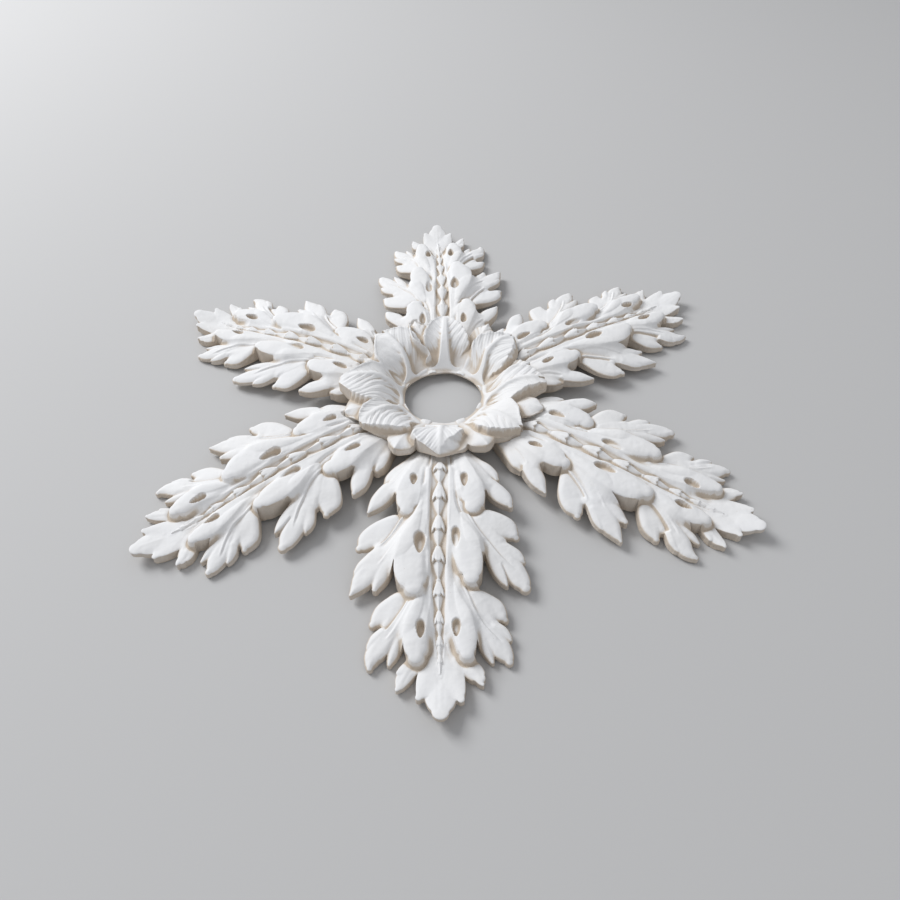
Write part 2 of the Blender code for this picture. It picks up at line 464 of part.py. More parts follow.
def blend(a, b, k=2.2):
    """The larger of two, with the valley between them softened."""
    h = np.maximum(k - np.abs(a - b), 0) / k
    return np.maximum(a, b) + h * h * k * 0.25


def husk_relief(x, y):
    """Bell flowers strung along the channel in the stem, y from the stem's axis."""
    at, half, deep = np.array(CHANNEL, float).T
    half, deep = np.interp(x, at, half), np.interp(x, at, deep)
    side = np.abs(y)
    relief = -deep * ramp(half - side, -CHANNEL_EDGE / 2, CHANNEL_EDGE)
    for mouth, length, wide in HUSKS:
        q = (x - mouth + length) / length
        u = side / (wide * soft(q, HUSK_SIDE))
        ends = ramp(q, -0.02, 0.12) * ramp(mouth - soft(u, PETALS) * wide - x, -0.7, 1.4)
        bell = wide * soft(q, HUSK_TOP) * np.sqrt(np.clip(1 - u**2.4, 0, 1))
        bell = ends * (bell - PETAL_GROOVE * bump(u - 0.5, 0.12) * ramp(q, 0.45, 0.3))
        t = (x - mouth) / (BUD * length)
        slim = BUD_WIDE * wide * np.clip(1 - t, 0.02, 1) ** 0.7
        bud = wide * (0.85 - 0.3 * t) * np.clip(1 - (side / slim) ** 1.3, 0, 1)
        bud *= ramp(1 - t, 0, 0.15) * ramp(t, -0.5, 0.2)
        apart = ((x - mouth - BEAD_AT * length) ** 2 + side**2) / (BEAD * wide) ** 2
        bead = 0.5 * wide * np.sqrt(np.clip(1 - apart, 0, 1))
        relief = np.maximum(relief, np.maximum(np.maximum(bell, bud), bead) - deep)
    return relief


def leaf_face(x, y):
    """Front of the leaf casting, and distance outside its outline."""
    high, out = np.full(x.shape, -1e3), np.full(x.shape, 1e3)
    for sheets, side in ((LEFT_SHEETS, 1), (RIGHT_SHEETS, -1)):
        for fingers in sheets.values():
            m = nearby(x, side * y, [row for rows in fingers.values() for row in rows])
            h, d = sheet(x[m], side * y[m], fingers.values())
            high[m] = blend(high[m], h, SHEETS_SOFT)
            out[m] = np.minimum(out[m], d)
    for lobes, side in ((MIDDLE_LOBES, 1), (LEFT_LOBES, 1), (RIGHT_LOBES, -1)):
        for shape in lobes.values():
            m = nearby(x, side * y, shape[-1])
            h, d = lobe(x[m], side * y[m], *shape)
            high[m] = blend(high[m], h)
            out[m] = np.minimum(out[m], d)
    high += carved(x, y, FOLDS, VALLEYS)
    for bulbs, side in ((LEFT_BULBS, 1), (RIGHT_BULBS, -1)):
        for dome, rows in bulbs.values():
            m = nearby(x, side * y, rows)
            h, d, tip = bulb(x[m], side * y[m], dome, rows)
            dip = MOAT * tip * ramp(-np.maximum(d, 0), -MOAT_OVER, MOAT_OVER) ** 2
            high[m] = blend(high[m] - dip, h, BULB_SOFT + (BULB_TIP_SOFT - BULB_SOFT) * tip)
            out[m] = np.minimum(out[m], d)
    high += carved(x, y, (), STEM_VALLEYS)
    high += husk_relief(x, y - soft(x, AXIS))
    for px, py, long, wide, deep, lost in EYES:
        t = np.clip((x - px) / long, -1, 1)
        u = t**2 + ((y - py) / (wide * (1 - 0.35 * t))) ** 2
        high -= deep * (1 - lost * (1 + t) / 2) * np.clip((1 - u) * EYE_SHARP, 0, 1)
    mitre = np.abs(y) * cos(radians(LEAF_MITRE)) - x * sin(radians(LEAF_MITRE))
    return high, np.maximum(out, np.maximum(LEAF_ROOT - x, mitre))


def nearby(x, y, rows, reach=48):
    """Which points lie within reach of a lobe's rows."""
    spots = np.array(rows)[:, :2]
    (x0, y0), (x1, y1) = spots.min(0) - reach, spots.max(0) + reach
    return (x > x0) & (x < x1) & (y > y0) & (y < y1)


def leaf_back(x, y):
    """Back of the leaf casting: flat under the stem, arched under its lobes."""
    s = ramp(np.abs(y), ARCH_FROM, ARCH_FULL - ARCH_FROM)
    s = np.maximum(s, ramp(x, TIP_LIFTS, TIP_LIFT_OVER))
    arch = np.interp(x, *np.array(ARCH, float).T) * s
    lift = np.interp(x, *np.array(EDGE_LIFT, float).T)
    return arch + lift * ramp(np.abs(y), ARCH_FULL, EDGE_LIFT_FULL - ARCH_FULL)


def turned(x, y, degrees):
    a = radians(degrees)
    return x * cos(a) + y * sin(a), -x * sin(a) + y * cos(a)


def fluting(x, side, spacing, n):
    """Rounded ridges along a leaf, bending outwards to its margin, 0 in the valleys."""
    t = x - COLLAR
    phase = (side - FLUTE_SPREAD * t - FLUTE_BEND * t * t) / spacing + 0.37 * n
    wander = 0.24 * np.sin(x / 12 + 2.1 * n) + 0.20 * np.sin(side / 7 + n)
    uneven = 0.8 + 0.2 * np.sin(side / 9.5 + 1.7 * n + x / 31)
    return uneven * np.abs(np.sin(pi * (phase + wander))) ** 1.15


def half_widths(x, reach, sizes):
    """Half width along a large leaf, from the collar to its tip."""
    return soft(x, ((COLLAR - 8, COLLAR_HALF), (COLLAR + 12, COLLAR_HALF),
                    *zip(WIDTHS_AT, sizes), (reach + 6, 0)))


def big_leaf(x, y, reach, droop, rib, bends, widths, flutes, spacings, pockets, n):
    """One large leaf of the ring, x along its midrib: rise, distance outside, ridges, and 0
    to 1 up the wall of a cut margin."""
    bend = soft(x, list(zip(BENDS_AT, bends)))
    left = y > bend
    edge = np.where(left, *(half_widths(x, reach, w) for w in widths))
    deep, spacing, pocket = (np.where(left, *pair) for pair in (flutes, spacings, pockets))
    side = np.abs(y - bend)
    room = np.maximum(np.where(left, edge - bend, edge + bend), 4)
    u = np.clip(side / room, 0, 1.3)
    ends = ramp(x, COLLAR, 8) * ramp(reach - 1 - x, 0, 12)
    wave = fluting(x, side, spacing, n)
    scallop = deep * (0.6 - wave) * ends * ramp(np.abs(y), 8, 6)
    out = np.maximum(np.abs(y) - edge + 0.5 * scallop, (x - reach) * 0.8)
    inner = edge
    for k, here in ((0, left), (1, ~left)):
        if (n, k) in CUTS:
            inner = np.where(here, half_widths(x, reach, CUTS[n, k]), inner)
    ragged = sum(size * np.sin(x / long + phase * n) for long, phase, size in RAGGED)
    top = ramp(edge - np.abs(y), 0, np.maximum(edge - inner - ragged + 0.7 * scallop, 1))
    cut = (edge > inner + 1) & (x > CUT_FROM)
    top = np.where(cut, top, 1)
    broad = np.maximum(rib * soft(x, RIB), soft(x, COLLAR_FLARE))
    flank = 1 - bump(np.maximum(side - broad, 0), FLANK)
    high = soft(x, DISH) - soft(x, POCKET) * pocket * flank + soft(x, MARGIN) * u**3 * pocket**0.5
    high -= droop * ramp(x, DROOPS, DROOP_OVER) ** 2
    line = bump(edge - np.abs(y) - RIM_LINE_IN, RIM_LINE_WIDE) * ends * ~cut
    ridges = deep * (wave - 0.6) * flank * ends * top**4 + RIM_LINE * line
    return high, out, ridges, top


def small_leaf(x, y, reach, crest, fluted, wide, n):
    """One small pointed leaf seen between and behind the large ones."""
    xs = x + (SMALL_END - reach) * ramp(x, SMALL_FROM, reach - SMALL_FROM)
    side = np.abs(y + 2.0 * np.sin((xs - COLLAR) / 26))
    width = wide * soft(xs, SMALL_WIDTH)
    high = soft(xs, SMALL_DISH + tuple((at, crest + more) for at, more in SMALL_CROWN))
    high -= SMALL_SLOPE * np.clip(side / width, 0, 1.2) * np.clip((xs - COLLAR) / 15, 0.2, 1)
    wave = fluting(xs, side, SMALL_FLUTES, n)
    high += fluted * (wave - 0.6) * ramp(side, 0, 5) * ramp(xs, COLLAR, 8)
    return high, np.maximum(side - width, (xs - SMALL_END) * 0.8)


def ring_under(x, y):
    """Underside of the ring: a cone, raised in a saddle over each leaf's stem."""
    r = np.hypot(x, y)
    saddle = np.zeros(r.shape)
    for direction, _ in LEAF_LAID:
        lx, ly = turned(x, y, direction)
        saddle = np.maximum(saddle, np.where(lx > 0, np.exp(-((ly / SADDLE_HALF) ** 4)), 0))
    return soft(r, UNDER_CONE) + soft(r, UNDER_SADDLE) * saddle


def ring_face(x, y):
    """Front of the ring, and distance outside its outline."""
    r = np.hypot(x, y)
    high = soft(r, FLOOR_DISH)
    out = r - FLOOR_REACH
    foot = ring_under(x, y) + WALL_FOOT
    for n, (direction, *shape) in enumerate(SMALL_LEAVES):
        lx, ly = turned(x, y, direction)
        h, d = small_leaf(lx, ly, *shape, n)
        h = blend(high, h - 1.8 * np.maximum(d, 0))
        high = np.where(lx > 45, h, high)
        out = np.where(lx > 90, np.minimum(out, d), out)
    for n, (direction, *shape) in enumerate(BIG_LEAVES):
        lx, ly = turned(x, y, direction)
        h, d, ridges, top = big_leaf(lx, ly, *shape, n)
        h = foot + (h - foot) * top + ridges - FALL * np.maximum(d + 0.4, 0)
        high = np.where(lx > 40, blend(high, h, 1.2), high)
        out = np.where(lx > 90, np.minimum(out, d), out)
    curl, d = lobe(x, y, CURL_DOME, 2.0, 0, CURL)
    high = np.where(d < 4, blend(high, curl - 1.5 * np.maximum(d, 0), 1.0), high)
    high = np.maximum(high, ring_under(x, y) + RING_THIN)
    hx, hy = x - HOLE_X, (y - HOLE_Y) * HOLE_SQUASH
    r, turn = np.hypot(hx, hy), np.arctan2(hy, hx)
    hole = HOLE + sum(size * np.sin(n * turn + phase) for n, phase, size in HOLE_WAVES)
    return high, np.maximum(out, hole - r)


def laid_leaf_face(direction, slide):
    """Front of one leaf as laid: trimmed where it passes under the ring."""
    a = radians(direction)

    def face(x, y):
        high, out = leaf_face(x, y)
        gx = (x + slide) * cos(a) - y * sin(a)
        gy = (x + slide) * sin(a) + y * cos(a)
        near = np.hypot(gx, gy) < RING_ASIDE + 15
        cap = np.full(x.shape, 1e3)
        _, d = ring_face(gx[near], gy[near])
        space = CLEAR + CLEAR_ASIDE * ramp(np.abs(y[near]), STEM_HALF, STEM_BLEND)
        cap[near] = ring_under(gx[near], gy[near]) - space + 1.5 * np.maximum(d - 3.0, 0)
        return np.minimum(high, cap), out

    return face


def outlines(x, y, out):
    """Closed loops where the distance field is zero, the solid on their left."""
    inside = out < 0
    cross, links = {}, {}

    def point(r0, c0, r1, c1):
        key = (r0, c0, r1, c1)
        if key not in cross:
            a, b = out[r0, c0], out[r1, c1]
            t = min(max(a / (a - b), 0.02), 0.98)
            cross[key] = (x[r0, c0] + t * (x[r1, c1] - x[r0, c0]),
                          y[r0, c0] + t * (y[r1, c1] - y[r0, c0]))
        return key

    mixed = inside[:-1, :-1].astype(int) + inside[:-1, 1:] + inside[1:, :-1] + inside[1:, 1:]
    for r, c in zip(*np.nonzero((mixed > 0) & (mixed < 4))):
        corners = ((r, c), (r, c + 1), (r + 1, c + 1), (r + 1, c))
        state = [inside[p] for p in corners]
        leave, enter = [], []
        for i in range(4):
            j = (i + 1) % 4
            if state[i] != state[j]:
                p, q = sorted((corners[i], corners[j]))
                (leave if state[i] else enter).append(point(*p, *q))
        for a, b in zip(leave, enter if len(enter) == 1 else enter[::-1]):
            links[a] = b
    loops = []
    while links:
        start, key = next(iter(links.items()))
        loop = [cross[start]]
        del links[start]
        while key != start:
            loop.append(cross[key])
            key = links.pop(key)
        loops.append(np.array(loop))
    return loops


def thinned(loop, tolerance, pinned=()):
    """Fewest points of a closed loop that keep its shape."""
    keep = np.zeros(len(loop), bool)
    far = int(np.argmax(np.hypot(*(loop - loop[0]).T)))
    keep[[0, far, *pinned]] = True
    ring = np.vstack([loop, loop[:1]])
    stops = [*np.nonzero(keep)[0], len(loop)]
    spans = list(zip(stops[:-1], stops[1:]))
    while spans:
        i, j = spans.pop()
        if j - i < 2:
            continue
        a, b = ring[i], ring[j]
        n = np.array([a[1] - b[1], b[0] - a[0]]) / (np.hypot(*(b - a)) + 1e-9)
        d = np.abs((ring[i + 1:j] - a) @ n)
        if d.max() > tolerance:
            k = i + 1 + int(np.argmax(d))
            keep[k] = True
            spans += [(i, k), (k, j)]
    return loop[keep]


def well_spaced(loop, least):
    """Loop without points that crowd the one before them."""
    out = [loop[0]]
    for p in loop[1:]:
        if np.hypot(*(p - out[-1])) >= least:
            out.append(p)
    if np.hypot(*(out[-1] - out[0])) < least:
        out.pop()
    return np.array(out)


def triangles(points, loops, inner):
    """Constrained triangulation of the outline loops with the inner points."""
    edges, at = [], 0
    for loop in loops:
        n = len(loop)
        edges += [(at + i, at + (i + 1) % n) for i in range(n)]
        at += n
    verts = [Vector(p) for p in points] + [Vector(p) for p in inner]
    got = delaunay_2d_cdt(verts, edges, [], 2, 1e-6)
    if len(got[0]) != len(verts):
        raise ValueError("the outline crosses itself")
    back = [o[0] for o in got[3]]
    faces = [tuple(back[i] for i in f) for f in got[2]]
    spots = np.array([np.mean([verts[i] for i in f], axis=0) for f in faces])
    keep = np.ones(len(faces), bool)
    for hole in loops[1:]:
        keep &= ~within(spots, hole)
    return [f for f, k in zip(faces, keep) if k]


def within(spots, loop):
    """Which spots lie inside a closed loop."""
    inside = np.zeros(len(spots), bool)
    for (ax, ay), (bx, by) in zip(loop, np.roll(loop, -1, axis=0)):
        spans = (ay > spots[:, 1]) != (by > spots[:, 1])
        if ay != by:
            inside ^= spans & (spots[:, 0] < ax + (spots[:, 1] - ay) * (bx - ax) / (by - ay))
    return inside


def worst_points(xy, z, faces, px, py, pz):
    """In each triangle, the sample that strays most from it, the worst first."""
    order = np.argsort(px)
    sx = px[order]
    found = []
    for f in faces:
        (ax, ay), (bx, by), (cx, cy) = xy[f[0]], xy[f[1]], xy[f[2]]
        lo, hi = np.searchsorted(sx, (min(ax, bx, cx), max(ax, bx, cx)))
        area = (bx - ax) * (cy - ay) - (cx - ax) * (by - ay)
        if lo == hi or abs(area) < 1e-6:
            continue
        i = order[lo:hi]
        u = ((px[i] - ax) * (cy - ay) - (cx - ax) * (py[i] - ay)) / area
        v = ((bx - ax) * (py[i] - ay) - (px[i] - ax) * (by - ay)) / area
        flat = z[f[0]] + u * (z[f[1]] - z[f[0]]) + v * (z[f[2]] - z[f[0]])
        error = np.where((u >= 0) & (v >= 0) & (u + v <= 1), np.abs(flat - pz[i]), 0)
        k = int(np.argmax(error))
        if error[k] > 0.2:
            found.append((float(error[k]), float(px[i[k]]), float(py[i[k]])))
    return sorted(found, reverse=True)


def face_points(face, loops, samples, total, inner=()):
    """Points on the front, added a few at a time where the relief needs them."""
    edge = np.vstack(loops)
    px, py = samples
    pz, _ = face(px, py)
    inner = list(inner)
    while len(inner) < total:
        xy = np.vstack([edge, inner]) if inner else edge
        z, _ = face(*xy.T)
        count = min(POINTS_PER_ROUND, total - len(inner))
        more = []
        for _, x, y in worst_points(xy, z, triangles(edge, loops, inner), px, py, pz):
            held = np.vstack([xy, more]) if more else xy
            if len(more) < count and np.hypot(*(held - (x, y)).T).min() > POINTS_APART:
                more.append((x, y))
        if not more:
            break
        inner += more
    return inner


def slab(name, face, back, loops, top_inner, back_inner, place, material):
    """Closed solid between a front and a back that share their outline."""
    edge = np.vstack(loops)
    n = len(edge)
    top_xy = np.vstack([edge, top_inner])
    low_xy = np.vstack([edge, back_inner])
    top_z, low_z = face(*top_xy.T)[0], back(*low_xy.T)
    verts = [place(x, y, z) for (x, y), z in zip(top_xy, top_z)]
    verts += [place(x, y, z) for (x, y), z in zip(low_xy, low_z)]
    first = len(top_xy)
    faces = list(triangles(edge, loops, [tuple(p) for p in top_inner]))
    faces += [tuple(first + i for i in reversed(f))
              for f in triangles(edge, loops, [tuple(p) for p in back_inner])]
    at = 0
    for loop in loops:
        m = len(loop)
        for i in range(m):
            a, b = at + i, at + (i + 1) % m
            faces += [(b, a, first + a), (b, first + a, first + b)]
        at += m
    mesh = bpy.data.meshes.new(name)
    mesh.from_pydata(verts, [], faces)
    mesh.materials.append(material)
    mesh.validate()
    obj = bpy.data.objects.new(name, mesh)
    bpy.context.scene.collection.objects.link(obj)
    return obj


def plaster(name, tint):
    """White cast plaster."""
    m = bpy.data.materials.new(name)
    m.use_nodes = True
    shader = m.node_tree.nodes["Principled BSDF"]
    shader.inputs["Base Color"].default_value = (*tint, 1)
    shader.inputs["Roughness"].default_value = 0.75
    return m


def grid(x0, x1, y0, y1, step):
    return np.meshgrid(np.arange(x0, x1, step), np.arange(y0, y1, step))


def inside_points(px, py, face, margin):
    out = face(px, py)[1]
    keep = out < -margin
    return px[keep], py[keep]


def build_leaf(name, direction, slide, outline, common, samples, ring_foot, material):
    face = laid_leaf_face(direction, slide)
    a = radians(direction)

    def from_ring(x, y):
        return ring_face((x + slide) * cos(a) - y * sin(a), (x + slide) * sin(a) + y * cos(a))[1]

    d = from_ring(*outline.T)
    stops = np.zeros(len(d), bool)
    for level in (2.0, 7.0):
        stops |= (d > level) != (np.roll(d, 1) > level)
    loops = [well_spaced(thinned(outline, OUTLINE_TOLERANCE, np.nonzero(stops)[0]),
                         OUTLINE_LEAST)]
    fx, fy = turned(*ring_foot.T, direction)
    fx, fy = inside_points(fx - slide, fy, leaf_face, 2.0)
    start = list(zip(fx, fy)) + list(common[from_ring(*common.T) > 8])
    top = face_points(face, loops, samples, LEAF_ROOT_POINTS, start)
    sides = (-EDGE_LIFT_FULL, -ARCH_FULL, -ARCH_FROM, 0, ARCH_FROM, ARCH_FULL, EDGE_LIFT_FULL)
    bx, by = np.meshgrid([x for x, _ in ARCH], sides)
    bx, by = inside_points(bx.ravel().astype(float), by.ravel().astype(float), face, 3.0)

    def place(x, y, z):
        gx = (x + slide) * cos(a) - y * sin(a)
        gy = (x + slide) * sin(a) + y * cos(a)
        return (gx * MM, (gy - ORIGIN_Y) * MM, z * MM)

    slab(name, face, leaf_back, loops, np.array(top), np.stack([bx, by], -1), place, material)


def build_ring(name, material):
    x, y = grid(-RING_ASIDE, RING_ASIDE, -RING_ASIDE, RING_ASIDE, GRID)
    _, out = ring_face(x, y)
    loops = [well_spaced(thinned(p, OUTLINE_TOLERANCE), OUTLINE_LEAST)
             for p in outlines(x, y, out)]
    loops = sorted(loops, key=len, reverse=True)[:2]
    samples = inside_points(x.ravel(), y.ravel(), ring_face, SAMPLE_MARGIN)
    top = face_points(ring_face, loops, samples, RING_TOP_POINTS)
    r, t = np.meshgrid((74.0, 98.0, 118.0, 134.0), np.radians(np.arange(0, 360, 9)))
    bx, by = inside_points((r * np.cos(t)).ravel(), (r * np.sin(t)).ravel(), ring_face, 2.5)

    def place(px, py, z):
        return (px * MM, (py - ORIGIN_Y) * MM, z * MM)

    slab(name, ring_face, ring_under, loops, np.array(top), np.stack([bx, by], -1), place,
         material)
    foot = max(outlines(x, y, out - 2.0), key=len)
    return foot[::4]


def main():
    for obj in list(bpy.data.objects):
        bpy.data.objects.remove(obj, do_unlink=True)
    ring_foot = build_ring("centre_ring", plaster("ring_plaster", (0.86, 0.85, 0.83)))
    x, y = grid(LEAF_ROOT - 4, LEAF_END, -LEAF_ASIDE, LEAF_ASIDE, GRID)
    _, out = leaf_face(x, y)
    outline = max(outlines(x, y, out), key=len)
    samples = inside_points(x.ravel(), y.ravel(), leaf_face, SAMPLE_MARGIN)
    loop = well_spaced(thinned(outline, OUTLINE_TOLERANCE), OUTLINE_LEAST)
    common = np.array(face_points(leaf_face, [loop], samples, LEAF_TOP_POINTS))
    for i, (direction, slide) in enumerate(LEAF_LAID):
        name = f"acanthus_leaf_{i + 1}"
        shade = plaster(f"leaf_plaster_{i + 1}", (0.85, 0.85, 0.84))
        build_leaf(name, direction, slide, outline, common, samples, ring_foot, shade)


main()
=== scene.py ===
"""Looks of the ceiling rose: every casting remade as a fine mesh with its carving,
edges and pits, in white cast plaster, on a pale floor under soft light."""
from math import cos, pi, radians, sin

import bpy
import numpy as np
from mathutils import Matrix, Vector
from mathutils.geometry import delaunay_2d_cdt


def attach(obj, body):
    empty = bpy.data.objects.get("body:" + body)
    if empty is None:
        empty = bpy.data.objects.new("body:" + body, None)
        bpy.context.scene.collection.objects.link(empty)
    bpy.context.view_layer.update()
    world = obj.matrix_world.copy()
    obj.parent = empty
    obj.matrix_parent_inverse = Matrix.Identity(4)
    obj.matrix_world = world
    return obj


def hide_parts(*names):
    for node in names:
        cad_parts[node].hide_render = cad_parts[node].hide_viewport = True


MM = 0.001

# Layout. Each leaf is laid by hand, so its direction and its distance vary a little.
LEAF_LAID = (  # direction in degrees, slide outwards in mm
    (268.07, 11.6),
    (327.30, 3.8),
    (29.06, -2.1),
    (89.94, -11.4),
    (152.30, -6.9),
    (213.34, 3.0),
)
ORIGIN_Y = -11.4  # from the centre of the outline to the centre line of the ring, mm

# Leaf casting, mm, its root at the left, its tip at the right.
# Lobes, each a domed finger swept along a curve: dome, power of the dome, vein, and rows of
# (out, aside, half width, crest height)
MIDDLE_LOBES = {
    "web": (0.10, 2.0, 0, ((84, 0, 34, 12), (100, 0, 40, 14), (125, 0, 40, 21), (150, 0, 36, 28.5),
        (200, 0, 34, 31), (250, 0, 28, 30.5), (300, 0, 24, 25.5), (345, 0, 22, 19),
        (395, 0, 22, 13), (430, 0, 16, 12.5))),
    "end": (0.20, 2.2, 0.15, ((375, -1, 7, 16), (405, -1, 13, 13), (430, 0, 18.5, 14),
        (447, 0, 18.5, 17.5), (459, 0, 14.5, 20), (466, 0, 9.5, 21.5))),
    "stem": (0.10, 6.0, 0, ((95, -3, 11, 20), (130, -3.2, 12, 30), (155, -3.5, 12.5, 38),
        (200, -4, 12.5, 40), (250, -4.5, 12, 38), (300, -4, 10, 30), (350, -3, 8, 21),
        (400, -1.5, 5.5, 15), (425, -1, 3, 14))),
}
LEFT_LOBES = {
    "end side": (0.26, 2.2, 0.3, ((380, 8, 4, 16), (392, 13, 6, 15), (406, 22, 10, 14),
        (416, 34, 11, 13.5), (423, 41, 9.5, 13), (427, 44, 5.5, 13))),
    "end side tooth": (0.26, 2.2, 0, ((420, 36, 6, 13), (431, 43.5, 3.5, 13), (434, 46, 2, 13))),
    "end shoulder": (0.18, 2.2, 0, ((412, 9, 14, 13), (430, 14.5, 12.5, 14.5), (445, 19, 8.5, 16.5),
        (452, 22, 4, 17.5))),
}
RIGHT_LOBES = {
    "end side": (0.26, 2.2, 0.3, ((380, 11, 4, 16), (392, 17, 6, 15), (406, 27, 9.5, 14),
        (418, 37, 10, 13.5), (428, 42.5, 8.5, 13), (435, 45.5, 5.5, 13), (439, 48, 2.5, 13))),
    "end side tooth": (0.26, 2.2, 0, ((412, 36, 7, 13.5), (418, 44.5, 4.5, 13),
        (420, 47.5, 2.5, 13))),
    "end shoulder": (0.18, 2.2, 0, ((412, 9, 14, 13), (430, 15, 12.5, 14.5), (443, 20, 8, 16.5),
        (450, 24, 3.5, 17.5))),
}
# Sheets, each several fingers run together: rows as above
LEFT_SHEETS = {
    "basal": {
        "side": ((98, 30, 6, 18), (122, 45, 8, 25), (138, 58, 9, 29.5), (150, 67, 8.5, 29.5),
            (157, 71.5, 5, 29)),
        "long": ((100, 24, 6, 19), (128, 38, 9, 29), (150, 50, 10, 33), (165, 59.5, 10, 34),
            (180, 71, 12.5, 33), (190, 80, 11.5, 32), (198, 86, 7.5, 30.5), (202, 88.5, 4, 29.5)),
        "web": ((106, 27, 6, 20), (130, 42, 9, 29), (148, 54, 8, 32.5), (158, 61, 5.5, 32.5)),
        "fillet": ((120, 30, 8, 26), (145, 37, 11, 34.5), (165, 44, 12, 37), (180, 49, 8, 35.5)),
    },
    "middle": {
        "side": ((155, 21.5, 2.5, 37), (190, 24.5, 3.5, 38), (208, 30, 6, 37), (215, 40, 9, 35.5),
            (221, 54, 13, 33), (229, 70, 16, 30.5), (237, 82, 16.5, 27), (244, 90, 9.5, 24.5),
            (247, 93, 5, 23.5)),
        "long": ((160, 20, 2.5, 37), (200, 24.5, 3.5, 38.5), (222, 35, 6.5, 36.5),
            (240, 48, 10, 33), (262, 65, 14, 29), (284, 81, 15, 24.5), (298, 91, 14, 21),
            (309, 98, 11, 18.5), (315, 101, 7, 17.5)),
        "long tooth": ((262, 76, 8, 27), (272, 90, 9, 24), (279, 98, 6, 22), (282, 101, 2.5, 21)),
        "long lower": ((262, 58, 7, 31), (280, 64, 9, 28), (296, 70.5, 8.5, 24.5),
            (308, 76, 5.5, 21.5), (313, 78.5, 2.5, 20.5)),
        "web": ((212, 31, 5, 36.5), (228, 44, 10, 34.5), (243, 57, 14, 31.5), (256, 70, 11, 28.5)),
        "fillet": ((222, 30, 6, 38.5), (240, 36, 10, 39.5), (258, 42, 12, 38.5), (270, 47, 8, 36)),
    },
    "upper": {
        "side": ((290, 15, 2.5, 31), (308, 20, 4, 30), (320, 28, 6.5, 28), (327, 38, 9, 25.5),
            (335, 50, 12, 22), (344, 62, 14, 18), (352, 70.5, 9.5, 15.5), (356, 74.5, 4.5, 14)),
        "long": ((290, 15, 2.5, 30.5), (318, 21, 4, 28.5), (334, 28, 6.5, 26.5), (348, 36, 8.5, 24),
            (362, 46, 10.5, 21), (378, 58, 12.5, 17.5), (392, 69, 12, 14), (401, 75, 8.5, 12),
            (406, 77, 5, 11.5)),
        "long tooth": ((366, 62, 7, 18.5), (372, 71, 7, 16.5), (378, 77.5, 4.5, 14.5),
            (381, 79.5, 2.5, 14)),
        "long lower": ((360, 41, 7, 22), (376, 46, 8, 18), (392, 52, 7, 14.5), (402, 56, 4.5, 12.5),
            (407, 58, 2.5, 12)),
        "web": ((314, 24, 4, 28), (328, 34, 8, 26), (342, 45, 11, 22.5), (354, 54, 10, 19.5),
            (362, 60, 7, 18)),
        "fillet": ((318, 19, 4, 28), (336, 25, 8, 27.5), (352, 31, 10, 27), (366, 35, 8, 24.5),
            (374, 38, 5, 22.5)),
    },
}
RIGHT_SHEETS = {
    "basal": {
        "side": ((100, 33, 7, 18), (125, 47, 8.5, 25), (143, 60, 9.5, 29), (155, 69.5, 8.5, 29),
            (162, 74.5, 5, 28), (165, 77, 2.5, 28)),
        "long": ((106, 30, 6, 19), (135, 44, 9, 29), (155, 56, 10, 33), (170, 66, 11, 34),
            (184, 76, 12.5, 32.5), (195, 84.5, 11, 31), (204, 91, 6.5, 29.5), (210, 95, 2.5, 29)),
        "web": ((110, 32, 6, 20), (135, 47, 9, 30), (152, 59, 8, 33), (163, 67, 5.5, 32.5)),
        "fillet": ((124, 34, 8, 26), (148, 43, 11, 34.5), (168, 50, 12, 37), (184, 54, 8, 35.5)),
    },
    "middle": {
        "side": ((200, 27, 3, 36), (214, 33, 6, 36), (222, 46, 9.5, 34), (229, 62, 13, 31.5),
            (239, 79, 16, 28), (250, 92.5, 15, 25), (258, 100, 9.5, 23), (261, 103.5, 5, 22.5)),
        "long": ((204, 28, 3.5, 37), (226, 38, 6.5, 35), (246, 53, 10, 32.5), (268, 69.5, 14, 29),
            (290, 86.5, 15.5, 24.5), (306, 97, 13, 21), (316, 103.5, 8, 19), (324, 109, 2.5, 18)),
        "long tooth": ((275, 86, 7, 27), (287, 98, 7, 23.5), (294, 104.5, 4, 21.5),
            (297, 106, 2, 21)),
        "long lower": ((262, 59, 7, 31), (282, 66.5, 9.5, 28), (300, 73, 10, 24.5),
            (312, 78, 7, 21.5), (318, 80, 4, 21)),
        "web": ((216, 36, 6, 35), (230, 49, 11, 33), (246, 63, 14, 30), (260, 75, 10, 28)),
        "fillet": ((220, 33, 7, 38.5), (240, 40, 12, 39.5), (260, 47, 14, 38.5),
            (275, 52, 10, 36.5), (283, 56, 5, 34)),
    },
    "upper": {
        "side": ((298, 20, 3, 31), (318, 28, 6, 29), (328, 41, 9, 26), (337, 54, 12, 22.5),
            (348, 67, 13.5, 18.5), (356, 75.5, 10, 15.5), (361, 80.5, 5, 14)),
        "long": ((298, 20, 3, 31), (322, 27, 4.5, 28.5), (342, 36, 7, 26.5), (358, 46, 9, 23.5),
            (374, 57, 11, 20), (388, 69, 12.5, 16.5), (399, 77, 11, 13.5), (408, 80, 7, 12),
            (413, 80.5, 4, 11.5)),
        "long tooth": ((372, 66, 6, 20), (381, 76, 7, 17), (387, 82, 4.5, 14.5),
            (390, 84, 2.5, 14)),
        "long lower": ((368, 44, 6.5, 22), (384, 49, 7.5, 18), (398, 54.5, 6.5, 14.5),
            (406, 57.5, 4.5, 12.5), (409, 58.5, 3, 12)),
        "web": ((322, 28, 5, 27), (336, 40, 9, 25), (350, 54, 11, 21.5), (362, 63, 8, 18.5)),
        "fillet": ((324, 25, 5, 28), (344, 31, 9, 27.5), (362, 37, 10, 27), (375, 41, 7, 24.5),
            (382, 45, 4, 22.5)),
    },
}
